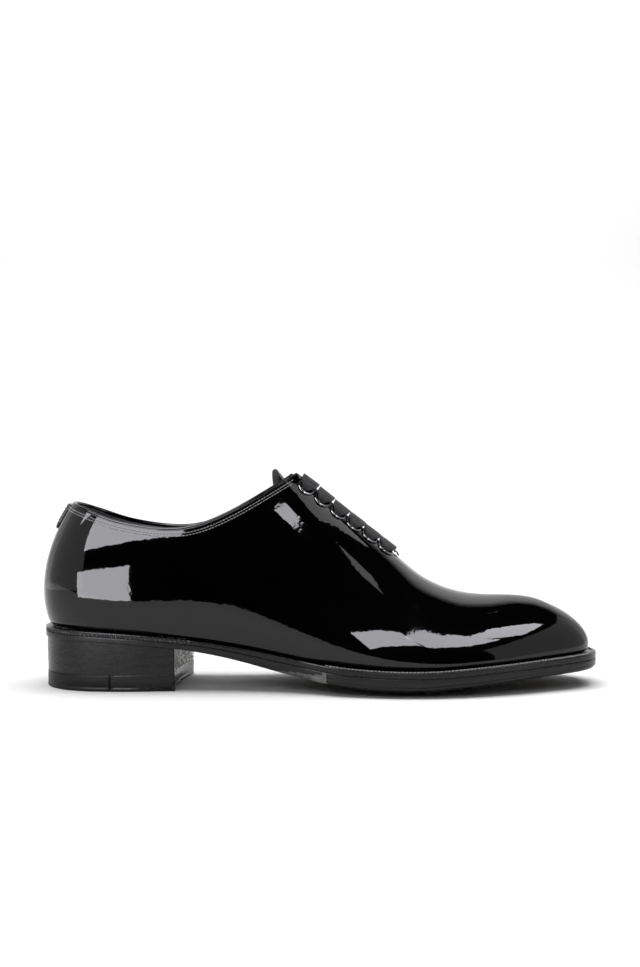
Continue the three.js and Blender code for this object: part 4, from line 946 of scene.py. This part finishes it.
side_grid = np.array([[[*around(s, u, o), z] for o, z in sole_side(s, u)] for s, u in all_cols])
n_c, n_p = side_grid.shape[:2]
side_faces = grid_faces(n_c, n_p, ring=True)


def between_edges(inset, across, height):
    """A grid from side to side, `inset` mm in from the sole's edge."""
    out = []
    for u in SOLE_US:
        a, b = (around(side, u, float(edge_out(side, feather(side, u)[0])) - inset) for side in (-1, 1))
        s = np.linspace(0, 1, across)[:, None]
        p = a[None] * (1 - s) + b[None] * s
        out.append(np.concatenate([p, height(p[:, 0], p[:, 1])[:, None]], 1))
    return np.array(out)


core = between_edges(BEVEL, 41, lambda x, y: bottom_z(x, y, 1))
lid = between_edges(LID_INSET, 13, lambda x, y: welt_bottom(x, y) - SOLE_JOINT)
core_faces = grid_faces(*core.shape[:2])
v, f, uv = join_parts([(side_grid, side_faces, None), (core, core_faces, None),
                       (lid, [q[::-1] for q in grid_faces(*lid.shape[:2])], None)])
uv = v[:, :2] / 10
outsole = make("outsole_leather", v, f, SOLE_INK, uv)
outsole.data.materials.append(BOTTOM_MAT)
first = len(side_faces)
for i in range(first, first + len(core_faces)):
    outsole.data.polygons[i].material_index = 1
# Faces at the foot of the outer waist edge get the light grey facet material, with more of them towards the
# forepart: painted highlight on the rasped grain.
outsole.data.materials.append(WAIST_FACET_HIGHLIGHT_MAT)
FACET_HIGHLIGHT_FROM, FACET_HIGHLIGHT_TO = -21.0, 5.0
for i, (s, u) in enumerate(all_cols):
    along = (feather(s, u)[0] - FACET_HIGHLIGHT_FROM) / (FACET_HIGHLIGHT_TO - FACET_HIGHLIGHT_FROM)
    if s < 0 and 0 < along < 1:
        for j in range(n_p - 1 - int(round(1 + 6 * along)), n_p - 1):
            outsole.data.polygons[i * (n_p - 1) + j].material_index = 2
weld(outsole, 1e-6)
pieces(outsole, slot="sole_leather", replaces=("outsole",))

# Welt stitching, from one waist round the toe to the other.
stitch_cols = [(-1, u) for u in columns([feather_station(-1, 3.0), 13 / N, 1.0], 0.04)]
stitch_cols += [(1, u) for u in columns([feather_station(1, 18.0), 13 / N, 1.0], 0.04)[::-1][1:]]
line = []
for s, u in stitch_cols:
    o = float(edge_out(s, feather(s, u)[0])) - STITCH_INSET
    p = around(s, u, o)
    line.append([p[0], p[1], float(sole_top(p[0], p[1])) - 0.12])
line = np.array(line)
upwards = np.tile([0.0, 0.0, 1.0], (len(line), 1))
v, f, uv = stitches(line, upwards, pitch=2.0, length=1.6, radius=0.4, lift=0.42, tilt=0.12)
welt_stitch = make("welt_stitching", v, f, WELT_THREAD, uv)
pieces(welt_stitch, slot="textile")


# ---------------------------------------------------------------- the heel
BREAST_U = {side: feather_station(side, x) for side, x in BREAST.items()}
BREAST_HOLLOW, HEEL_INSET = 2.4, 0.7
HEEL_MIDDLE, HEEL_SEAT = -110.0, -120.0


def heel_outline(z, u_from, u_to, extra):
    """Closed outline of a heel slab: outer side back to front, across the breast, and back."""
    drop = float(SOLE_BOTTOM(HEEL_SEAT)) - z

    def edge(side, share):
        u = BREAST_U[side] * share
        out = float(edge_out(side, feather(side, u)[0])) - HEEL_INSET - drop * HEEL_TAPER + extra
        return around(side, u, out)

    def across(share, hollow):
        a, b = edge(-1, share), edge(1, share)
        s = np.linspace(0, 1, 17)
        p = a[None] * (1 - s)[:, None] + b[None] * s[:, None]
        p[:, 0] -= hollow * (1 - (2 * s - 1) ** 2)
        return p

    shares = np.concatenate([[u_from], np.linspace(0, 1, 57)])
    shares = np.unique(shares[(shares >= u_from) & (shares <= u_to)])
    shares = np.append(shares[shares < u_to - 0.004], u_to)
    outer_side = [edge(-1, s) for s in shares]
    inner_side = [edge(1, s) for s in shares]
    loop = outer_side + list(across(u_to, BREAST_HOLLOW * u_to**3)[1:-1]) + inner_side[::-1]
    if u_from > 0:
        loop += list(across(u_from, BREAST_HOLLOW * u_from**3 if u_from > 0.5 else 0.0)[::-1][1:-1])
    else:
        loop = loop[:-1]
    return np.array(loop), len(shares), len(shares) + 15


def shrink(loop, by):
    """Move a closed outline inwards by a distance."""
    d = unit(np.roll(loop, -1, 0) - np.roll(loop, 1, 0))
    n = np.stack([d[:, 1], -d[:, 0]], -1)
    area = (loop[:, 0] * np.roll(loop[:, 1], -1) - np.roll(loop[:, 0], -1) * loop[:, 1]).sum()
    return loop - n * by * (1 if area > 0 else -1)


def slab(name, bottom, top, material, u_from=0.0, u_to=1.0, extra=0.0, bevel=0.3, breast=None,
         rings=()):
    """A heel layer with rounded edges. rings are (share of height, extra outset) down its side."""
    lo = bottom if callable(bottom) else (lambda x, y: np.full(np.shape(x), bottom))
    hi = top if callable(top) else (lambda x, y: np.full(np.shape(x), top))
    z_mid = (float(lo(HEEL_MIDDLE, 0.0)) + float(hi(HEEL_MIDDLE, 0.0))) / 2
    loop, breast_from, breast_to = heel_outline(z_mid, u_from, u_to, extra)
    n = len(loop)
    corner = [(2.2, 0), (0.8, 0), (0.2, 0.25), (0, 1), (0, 2.6)]  # (in, along) in bevels
    layers = [("top", bevel * a, -bevel * b) for a, b in corner]
    layers += [(share, -out, 0) for share, out in rings]
    layers += [("low", bevel * a, bevel * b) for a, b in corner[::-1]]
    rows = []
    for kind, inset, dz in layers:
        p = shrink(loop, inset)
        z1, z0 = hi(p[:, 0], p[:, 1]), lo(p[:, 0], p[:, 1])
        z = z1 + dz if kind == "top" else z0 + dz if kind == "low" else z0 + (z1 - z0) * kind
        rows.append(np.concatenate([p, np.asarray(z)[:, None]], 1))
    p = np.stack(rows, 1)
    m = p.shape[1]
    faces = grid_faces(n, m, ring=True)
    faces.append(tuple(i * m for i in range(n))[::-1])
    faces.append(tuple(i * m + m - 1 for i in range(n)))
    run = lengths(np.concatenate([loop, loop[:1]]))[:-1]
    uv = np.stack(np.broadcast_arrays(run[:, None], np.arange(m)[None] / m), -1).reshape(-1, 2)
    piece = make(name, p.reshape(-1, 3), faces, material, uv)
    for polygon in piece.data.polygons[-2:]:
        polygon.use_smooth = False
    if breast:
        piece.data.materials.append(breast)
        for i in range(breast_from - 1, breast_to + 1):
            for j in range(m - 1):
                piece.data.polygons[i * (m - 1) + j].material_index = 1
    weld(piece, 1e-7)
    return piece


def lift_base(k):
    return TOP_PIECE + GAP + k * (LIFT + GAP)


for k in range(3):
    top = lift_base(k) + LIFT + 0.26 if k < 2 else (lambda x, y: sole_bottom(x, y) - 0.14)
    lift = slab(f"heel_lift_stack_{k + 1}", lift_base(k), top, HEEL_INK, bevel=0.07, breast=BREAST_MAT)
    pieces(lift, slot="heel_leather", replaces=(f"heel_lift_{k + 1}",))

span = BREAST[-1] + 148.6
joint = 1 - (span - RUBBER_LENGTH) / span / 1.35
tip = slab("heel_rubber_quarter", 0.0, TOP_PIECE + 0.14, RUBBER, 0.0, joint - 0.003, bevel=0.35, extra=0.25,
           rings=((0.7, 0.1), (0.32, -0.05), (0.26, -0.3), (0.2, 0.05)))
pieces(tip, slot="heel_rubber", replaces=("heel_rubber_tip",))
front = slab("heel_top_leather", 0.0, TOP_PIECE + 0.14, HEEL_INK, joint + 0.003, 1.0, bevel=0.3, extra=0.25,
             rings=((0.7, 0.06), (0.32, -0.05), (0.26, -0.3), (0.2, 0.05)))
pieces(front, slot="heel_leather", replaces=("heel_top_piece",))

# ---------------------------------------------------------------- inside
insole_base = GAP + UPPER + GAP
WALL_INSET = WALL_DEPTH + 2 * GAP
sock_us = columns([0, 2 / N, 13 / N, 1.0], 0.2)
sock = plate("sock_liner_leather", lambda s, u: around(s, u, -(WALL_INSET + GAP)),
             lambda x, y: sole_top(x, y) + insole_base + INSOLE + GAP + SOCK,
             lambda x, y: sole_top(x, y) + insole_base + INSOLE + GAP, LINING_MAT, sock_us)
pieces(sock, slot="lining_leather", replaces=("sock_liner",))

# ---------------------------------------------------------------- the tongue
TONGUE_DEPTH = 6.4
T_FROM, T_TO = station_at(-21, crown_x), station_at(54, crown_x)


def tongue_depth(u):
    return TONGUE_DEPTH - 1.2 * (1 - blend(T_FROM, CORNER + 0.004, u))


def tongue_low(u):
    return 0.75 + 0.06 * blend(0.5, T_TO, u) + 0.03 * (1 - blend(T_FROM, CORNER, u))


SHOULDER = 0.9
FLAT = 0.4  # share of the half width that bridges the gap in one arch


def tongue_point(u, v, depth):
    """Along each wall to the shoulders, and an arch from shoulder to shoulder between them."""
    u, v, depth = np.broadcast_arrays(np.asarray(u, float), np.asarray(v, float), np.asarray(depth, float))
    low = tongue_low(u)
    across = np.clip((1 - np.abs(v)) / (1 - FLAT), None, 1)
    flank = surface(np.where(v < 0, -1.0, 1.0), u, low + (SHOULDER - low) * across, depth)
    ends = [surface(np.full(u.shape, k), u, SHOULDER, depth) for k in (-1.0, 1.0)]
    before = [surface(np.full(u.shape, k), u, SHOULDER - 0.02, depth) for k in (-1.0, 1.0)]
    pull = [unit(p - q) for p, q in zip(ends, before)]
    reach = np.linalg.norm(ends[1] - ends[0], axis=-1) * (0.34 + 0.2 * (1 - blend(T_FROM, CORNER, u)))
    s = np.clip((v + FLAT) / (2 * FLAT), 0, 1)[..., None]
    h = [p + d * reach[..., None] for p, d in zip(ends, pull)]
    arch = ends[0] * (1 - s) ** 3 + 3 * h[0] * s * (1 - s) ** 2 + 3 * h[1] * s * s * (1 - s) + ends[1] * s**3
    return np.where((np.abs(v) >= FLAT)[..., None], flank, arch)


def tongue_sheet(name, start, thickness, narrow, material):
    us = np.linspace(T_FROM, T_TO, 56)[:, None]
    vs = np.linspace(-1, 1, 61)[None] * narrow
    v, f, uv = thick(*(tongue_point(us, vs, tongue_depth(us) + d) for d in (start, start + thickness)))
    return make(name, v, f, material, uv)


tongue = tongue_sheet("tongue_leather", 0.0, 1.0, 1.0, PATENT)
pieces(tongue, body="tongue", slot="patent_leather", replaces=("tongue",))
tongue_back = tongue_sheet("tongue_lining_leather", 1.3, 0.8, 0.98, LINING_MAT)
pieces(tongue_back, body="tongue", slot="lining_leather", replaces=("tongue_lining",))

def squarish(value, power):
    """A sine or cosine pulled towards its ends, which turns a circle into a rounded square."""
    return np.sign(value) * np.abs(value) ** power


# Ribbed ribbon bound over the tongue's top end.
d_top = tongue_depth(T_FROM)
vs = np.linspace(-0.96, 0.96, 300)
spine = tongue_point(T_FROM, vs, d_top + 1.05)
out_dir = unit(spine - tongue_point(T_FROM + 0.01, vs, d_top + 1.0))
run = unit(np.gradient(spine, axis=0))
out_dir = unit(out_dir - run * (out_dir * run).sum(-1, keepdims=True))
high = np.cross(run, out_dir)
dist = lengths(spine)
rib = 0.04 * np.cos(2 * np.pi * dist / 0.8)
a = np.linspace(0, 2 * np.pi, 60, endpoint=False)
section = np.stack([squarish(np.cos(a), 0.75), squarish(np.sin(a), 0.75)], -1)
section *= (1 + 0.09 * np.cos(10 * a))[:, None]
rim = (spine + out_dir * 0.8)[:, None]
rim = rim + out_dir[:, None] * (section[None, :, :1] * (1.75 + rib[:, None, None]))
rim = rim + high[:, None] * (section[None, :, 1:] * (1.45 + rib[:, None, None]))
m = len(a)
faces = grid_faces(len(vs), m, tube=True) + end_caps(len(vs), m)
uv = np.stack(np.broadcast_arrays(dist[:, None] * 1.6, np.arange(m)[None] * 0.5), -1).reshape(-1, 2)
binding = weld(make("tongue_binding_ribbon", rim.reshape(-1, 3), faces, BINDING_MAT, uv), 1e-7)
pieces(binding, body="tongue", slot="textile", replaces=("tongue_binding",))


# ---------------------------------------------------------------- eyelets
def eyelet_mesh(e):
    r0, r1, r2 = EYELET_BORE, EYELET_BORE + EYELET_WALL, EYELET_OUTER
    base, rim = 0.12, GAP + EYELET_FLANGE
    a = np.linspace(0, 1, 9)
    crown_r = (r0 + r2) / 2
    half = (r2 - r0) / 2
    arc = [(crown_r - half * math.cos(math.pi * s), base + (rim - base) * math.sin(math.pi * s) ** 0.8)
           for s in a]
    profile = [(r0, -WALL_DEPTH), (r0, base - 0.5), *arc,
               (r2 - 0.15, base - 0.14), (r1 + 0.2, base - 0.14), (r1, -WALL_DEPTH)]
    n = 40
    x = e["along"]
    y = np.cross(e["n"], x)
    verts = []
    for k in range(n):
        c, s = math.cos(2 * math.pi * k / n), math.sin(2 * math.pi * k / n)
        for r, z in profile:
            verts.append(e["at"] + x * (r * c) + y * (r * s) + e["n"] * z)
    return np.array(verts), grid_faces(n, len(profile), ring=True, tube=True), None


for i, row in enumerate(eyelets):
    for k, e in enumerate(row):
        v, f, _ = eyelet_mesh(e)
        name = f"{'medial' if i else 'lateral'}_{k + 1}"
        ring = weld(make(f"eyelet_ring_{name}", v, f, GUNMETAL), 1e-7)
        pieces(ring, slot="eyelet_metal", replaces=(f"eyelet_{name}",))


# ---------------------------------------------------------------- the lace
RISE = EYELET_FLANGE + GAP * 2 + LACE_T / 2 + 0.1
LINK = WALL_DEPTH + GAP + LACE_T / 2 + 0.3
BUNCH_W, BUNCH_T = 3.0, 2.5  # the ribbon gathered inside an eyelet
BAR_START, BAR_CREST = 5.2, 0.95  # how far in a bar lies flat, and how high its middle stands


def off(e, along, inward, out):
    return e["at"] + e["along"] * along + e["inward"] * inward + e["n"] * out


knots = []


def knot(at, width, thickness, wide):
    knots.append((np.asarray(at, float), width, thickness, unit(np.asarray(wide, float))))


def bar_over(a, b):
    def one(e):
        sag = rng.uniform(-0.12, 0.12)
        return [(off(e, 0, 0.1, -1.0), BUNCH_W + 0.6, BUNCH_T - 0.2, e["along"]),
                (off(e, 0, 0.55, 0.75), BUNCH_W + 3.1, BUNCH_T - 1.1, e["along"]),
                (off(e, 0, 1.7, RISE - 0.35), LACE_W - 1.6, LACE_T + 0.15, e["along"]),
                (off(e, 0, 3.3, RISE + 0.02), LACE_W - 0.2, LACE_T, e["along"]),
                (off(e, 0, BAR_START, RISE + 0.14 + sag), LACE_W + 0.4, LACE_T, e["along"])]

    for item in one(a):
        knot(*item)
    middle_of_bar = (off(a, 0, BAR_START, RISE) + off(b, 0, BAR_START, RISE)) / 2
    crest = unit(a["n"] + b["n"]) * (BAR_CREST + rng.uniform(-0.1, 0.15))
    knot(middle_of_bar + crest, LACE_W + 0.7, LACE_T, a["along"] + b["along"])
    for item in one(b)[::-1]:
        knot(*item)


def link_under(a, b):
    way = np.sign(b["at"][0] - a["at"][0])

    def one(e, w):
        return [(off(e, -0.9 * w, 0, -2.4), BUNCH_W, BUNCH_T, e["inward"]),
                (off(e, -0.2 * w, 0, -4.1), BUNCH_W, BUNCH_T - 0.7, e["inward"]),
                (off(e, 2 * w, 0, -LINK), BUNCH_W + 1, LACE_T, e["inward"])]

    for item in one(a, way):
        knot(*item)
    for item in one(b, -way)[::-1]:
        knot(*item)


def lace_end(e, order):
    s, u, t = e["side"], e["u"], e["t"]
    items = [(off(e, 0, 0.3, -2.4), BUNCH_W, BUNCH_T, e["along"]),
             (off(e, 0, -0.6, -4.0), BUNCH_W, BUNCH_T - 0.7, e["along"]),
             (surface(s, u, t - 0.045, LINK), LACE_W - 4, LACE_T, e["along"]),
             (surface(s, u, t - 0.11, LINK), LACE_W - 4, LACE_T, e["along"]),
             (surface(s, u, t - 0.175, LINK + 0.4), LACE_W - 5, LACE_T + 0.5, e["along"])]
    for item in items[::order]:
        knot(*item)


at_side = 0
lace_end(eyelets[at_side][EYELETS - 1], -1)
for k in range(EYELETS - 1, -1, -1):
    bar_over(eyelets[at_side][k], eyelets[1 - at_side][k])
    at_side = 1 - at_side
    if k:
        link_under(eyelets[at_side][k], eyelets[at_side][k - 1])
lace_end(eyelets[at_side][0], 1)

PER = 7
centre = catmull([k[0] for k in knots], PER)
share = np.arange(len(centre)) / PER
base = np.minimum(share.astype(int), len(knots) - 2)
frac = share - base
ease = frac * frac * (3 - 2 * frac)


def mixed(i):
    values = np.array([k[i] for k in knots], float)
    return values[base] + (values[base + 1] - values[base]) * ease


width, thickness = mixed(1), mixed(2)
hints = [knots[0][3]]
for k in knots[1:]:
    hints.append(k[3] if k[3].dot(hints[-1]) >= 0 else -k[3])
hints = np.array(hints)
wide = unit(hints[base] * (1 - frac)[:, None] + hints[base + 1] * frac[:, None])
tangent = unit(np.gradient(centre, axis=0))
wide = unit(wide - tangent * (wide * tangent).sum(-1, keepdims=True))
high = np.cross(tangent, wide)
SECTION = 28
a = 2 * np.pi * (np.arange(SECTION) + 0.5) / SECTION
sx, sy = squarish(np.cos(a), 0.5), squarish(np.sin(a), 0.42)
run_mm = lengths(centre)
rib_amp = 0.06 * np.cos(2 * np.pi * run_mm / 0.9)
edge_roll = 0.12 * np.abs(sx) ** 6  # the selvedge is a touch thicker
half_w = width[:, None] / 2 * sx[None]
half_t = (thickness[:, None] / 2 * 0.86 + rib_amp[:, None]) * sy[None]
half_t = half_t + np.sign(sy)[None] * edge_roll[None] * 0.5
rim = centre[:, None] + wide[:, None] * half_w[..., None] + high[:, None] * half_t[..., None]
v_across = sx[None] * width[:, None] / 2
uv = np.stack(np.broadcast_arrays(run_mm[:, None], v_across), -1).reshape(-1, 2)
n = len(centre)
faces = grid_faces(n, SECTION, tube=True) + end_caps(n, SECTION)
lace = weld(make("lace_ribbon", rim.reshape(-1, 3), faces, RIBBON, uv), 1e-7)
pieces(lace, slot="textile", replaces=("lace",))


# ---------------------------------------------------------------- back strap, tack and stitching
TAB_HALF, TAB_LOW, TAB_THICK = 5.4, 85.0, 1.1

t_low = solve(lambda t: last_point(-1, 0.0, t)[2] < TAB_LOW, 0.3, 1.0)
t_high = float(topline_at(-1, 0.0)) - 0.008


def tab_point(s, k, depth):
    """A point of the strap: s up it, k across it from -1 to 1, and the surface normal there."""
    s, k = np.broadcast_arrays(np.asarray(s, float), np.asarray(k, float))
    t = t_low + (t_high - t_low) * s
    half = TAB_HALF * np.sqrt(np.clip(1 - np.maximum(0.0, 1 - (s + 0.02) / 0.3) ** 2, 0, None)) * np.abs(k)
    side = np.where(k < 0, -1.0, 1.0)
    u = bisect(lambda v: np.abs(last_point(side, v, t)[..., 1]) < half, half, 0.0, 0.12, 30)
    crowned = depth - 0.12 * (1 - np.minimum(1.0, np.abs(k)) ** 4)
    return surface(side, u, t, crowned), last_normal(side, u, t)


ks = np.concatenate([[-1, -0.97, -0.9], np.linspace(-0.8, 0.8, 15), [0.9, 0.97, 1]])[None]
ss = np.concatenate([np.linspace(0, 0.3, 16), np.linspace(0.33, 1, 22)])[:, None]
soft = np.where(np.abs(ks) > 0.99, 0.5, np.where(np.abs(ks) > 0.95, 0.16, 0.0))
foot = np.zeros_like(ss)
foot[0], foot[1] = 0.4, 0.1
face = tab_point(ss, ks, -GAP - TAB_THICK + soft + foot)[0]
rear = tab_point(ss, ks, 0.12)[0]
v, f, uv = thick(face, rear)
tab = weld(make("back_strap", v, f, PATENT, uv), 1e-7)
pieces(tab, slot="patent_leather", replaces=("back_tab",))

up_side, over = np.linspace(0.97, 0.16, 30), np.linspace(-0.7, 0.7, 15)
path_s = np.concatenate([up_side, 0.16 - 0.05 * np.cos(np.pi / 2 * np.abs(over) / 0.78), up_side[::-1]])
path_k = np.concatenate([np.full(30, -0.78), over, np.full(30, 0.78)])
on_strap = tab_point(path_s, path_k, -GAP - TAB_THICK)
v, f, uv = stitches(*on_strap, pitch=1.7, length=1.35, radius=0.19, lift=0.12)
pieces(make("back_strap_stitching", v, f, BLACK_THREAD, uv), slot="textile")


def offset_line(side, u, inset):
    """A line on the wall, `inset` mm below the topline or in from the lacing gap."""
    t1 = topline_at(side, u)
    end = last_point(side, u, t1)
    low = last_point(side, u, t1 - 0.05)
    down = unit(end - low)
    run = unit(np.gradient(end, axis=0))
    slant = np.sqrt(np.clip(1 - (down * run).sum(-1) ** 2, 0.2, 1))
    t = t1 - 0.05 * inset / np.linalg.norm(end - low, axis=-1) / slant
    return last_point(side, u, t), last_normal(side, u, t)


TOP_STITCH = dict(pitch=1.8, length=1.36, radius=0.25, lift=0.2)
back_u = columns([0.022, 2 / N, 5 / N, CORNER - 0.006], 0.04)
front_u = columns([CORNER + 0.004, THROAT - 0.12 / N], 0.03)
rows_of_stitches = []
for inset in (1.9, 3.3):
    for us, in_by in ((back_u, inset), (front_u, inset - 0.5)):
        for s in (-1, 1):
            p, n = offset_line(np.full(len(us), s), us, in_by)
            rows_of_stitches.append(stitches(p, n, **TOP_STITCH))
v, f, uv = join_parts(rows_of_stitches)
# The topline stitches' light grey is painted highlight.
pieces(make("topline_stitching", v, f, TOPLINE_THREAD_HIGHLIGHT, uv), slot="textile")

# The tack: a satin bar of thread wrapped side by side across the end of the gap.
tack_x = float(crown_x(THROAT)) + 1.6
parts = []
for k in range(9):
    y = float(middle(tack_x)) + (k - 4) * 0.56
    e = np.linspace(-1, 1, 9)
    x = tack_x + e * (1.25 - 0.02 * abs(k - 4) ** 2) + rng.uniform(-0.08, 0.08)
    z = crown(x) + 0.45 + 1.5 * np.sqrt(1 - (e * 0.97) ** 2)
    parts.append(tube(np.stack([x, np.full(9, y), z], -1), 0.33, 8, up=(0, 1, 0)))
v, f, uv = join_parts(parts)
tack = make("bar_tack_threads", v, f, TACK_THREAD, uv)
pieces(tack, slot="textile", replaces=("bar_tack",))

# ---------------------------------------------------------------- pieces kept from the CAD model
KEPT = {"insole": BOARD, "cork_filler": CORK, "shank": STEEL, "insole_rib": CANVAS, "heel_counter": STIFF,
        "toe_puff": STIFF, "facing_stay_lateral": STIFF, "facing_stay_medial": STIFF,
        "vamp_lining": LINING_MAT, "aglet_1": PLASTIC, "aglet_2": PLASTIC,
        **{f"heel_nail_{k}": BRASS for k in range(1, 6)}}
for name, material in KEPT.items():
    node = bpy.data.objects[name]
    node.data.materials.clear()
    node.data.materials.append(material)

# ---------------------------------------------------------------- studio
stage = Nodes("studio sweep", Roughness=0.9)
stage.shader.inputs["Base Color"].default_value = (0.9, 0.9, 0.9, 1)
stage.shader.inputs["Specular IOR Level"].default_value = 0.0

# Floor and backdrop in one sweep.
SWEEP_HALF, FLOOR_FRONT, WALL_FOOT, SWEEP_RADIUS, WALL_TOP = 3600.0, -450.0, 700.0, 500.0, 1900.0
profile = [(FLOOR_FRONT, 0.0), (WALL_FOOT, 0.0)]
for k in range(1, 13):
    a = math.pi / 2 * k / 12
    profile.append((WALL_FOOT + SWEEP_RADIUS * math.sin(a), SWEEP_RADIUS - SWEEP_RADIUS * math.cos(a)))
profile.append((WALL_FOOT + SWEEP_RADIUS, WALL_TOP))
verts = [(x, y, z) for y, z in profile for x in (-SWEEP_HALF, SWEEP_HALF)]
faces = [(2 * k, 2 * k + 1, 2 * k + 3, 2 * k + 2) for k in range(len(profile) - 1)]
make("studio_sweep", verts, faces, stage.mat)

world = bpy.data.worlds.new("studio")
bpy.context.scene.world = world
world.use_nodes = True
world.node_tree.nodes["Background"].inputs["Color"].default_value = (1, 1, 1, 1)
world.node_tree.nodes["Background"].inputs["Strength"].default_value = 1.0
world.cycles_visibility.diffuse = False
world.cycles_visibility.glossy = False


def lamp(name, centre, across, upward, radiance, mirrored):
    """A rectangular light given by its centre and two half sides (mm), turned towards the shoe.

    A mirrored lamp is a card seen only in glossy surfaces; the others only throw light.
    """
    centre, across, upward = (np.array(v, float) for v in (centre, across, upward))
    facing = np.cross(unit(across), unit(upward))
    if facing.dot(centre - SHOE_MIDDLE) < 0:
        across, facing = -across, -facing
    light = bpy.data.lights.new(name, "AREA")
    light.shape = "RECTANGLE"
    light.size, light.size_y = 2 * MM * np.linalg.norm(across), 2 * MM * np.linalg.norm(upward)
    light.energy = radiance * 4 * light.size * light.size_y
    light.color = DAYLIGHT if radiance == WINDOW else (1.0, 1.0, 1.0)
    thing = bpy.data.objects.new(name, light)
    turn = np.stack([unit(across), np.cross(facing, unit(across)), facing], 1)
    thing.matrix_world = Matrix.LocRotScale(Vector(centre * MM), Matrix(turn.tolist()), None)
    thing.visible_camera = False
    thing.visible_diffuse = not mirrored
    thing.visible_glossy = mirrored
    bpy.context.scene.collection.objects.link(thing)


SHOE_MIDDLE = np.array([0.0, 0.0, 60.0])
WINDOW, DAYLIGHT = 8.8, (0.94, 0.94, 1.0)
lamp("card_heel_low", (-172, -150, 61), (60, 0, 4), (-2, 0, 30), WINDOW, True)
lamp("card_heel_high", (-152, -150, 370), (62, 0, 0), (0, 0, 233), WINDOW, True)
lamp("card_heel_higher", (-290, -150, 500), (76, 0, 0), (0, 0, 215), WINDOW, True)
lamp("card_toe", (235, -62, 250), (44, 0, 0), (0, 34, 0), WINDOW, True)
lamp("card_forepart", (182, -207, 250), (34, 108, 0), (30, -9.5, 0), WINDOW, True)
lamp("card_ball", (38, -150, 84), (44, 0, 34), (-8, 0, 12), WINDOW, True)
lamp("card_instep", (46, -150, 237), (26, 0, 33), (4.4, 0, -3.4), WINDOW, True)
lamp("card_eyelets_high", (118, 10, 250), (30, 64, 0), (16, -7, 0), 1.5, True)
lamp("card_eyelets_low", (124, -100, 250), (11, 0, 0), (0, 20, 0), 1.6, True)
lamp("wall_left", (-700, -250, 450), (0, 650, 0), (0, 0, 450), 0.6, True)
lamp("wall_right", (600, -100, 290), (0, -450, 0), (0, 0, 290), 0.5, True)
lamp("overhead", (0, 150, 1700), (1100, 0, 0), (0, 700, 0), 2.35, False)
lamp("backdrop", (0, 150, 1500), (1400, 0, 0), (0, 250, 150), 2.35, False)
lamp("front", (-300, -900, 700), (500, 0, 0), (0, 200, 250), 1.0, False)

bpy.context.scene.view_settings.view_transform = "Standard"

camera_data = bpy.data.cameras.new("camera")
camera_data.sensor_fit = "VERTICAL"
camera_data.sensor_height = 36
camera_data.lens = 42.217
camera_data.clip_start = 0.01
camera = bpy.data.objects.new("camera", camera_data)
camera.location = (0, -0.63, 0.11)
camera.rotation_euler = (math.pi / 2, 0, 0)
bpy.context.scene.collection.objects.link(camera)
bpy.context.scene.camera = camera
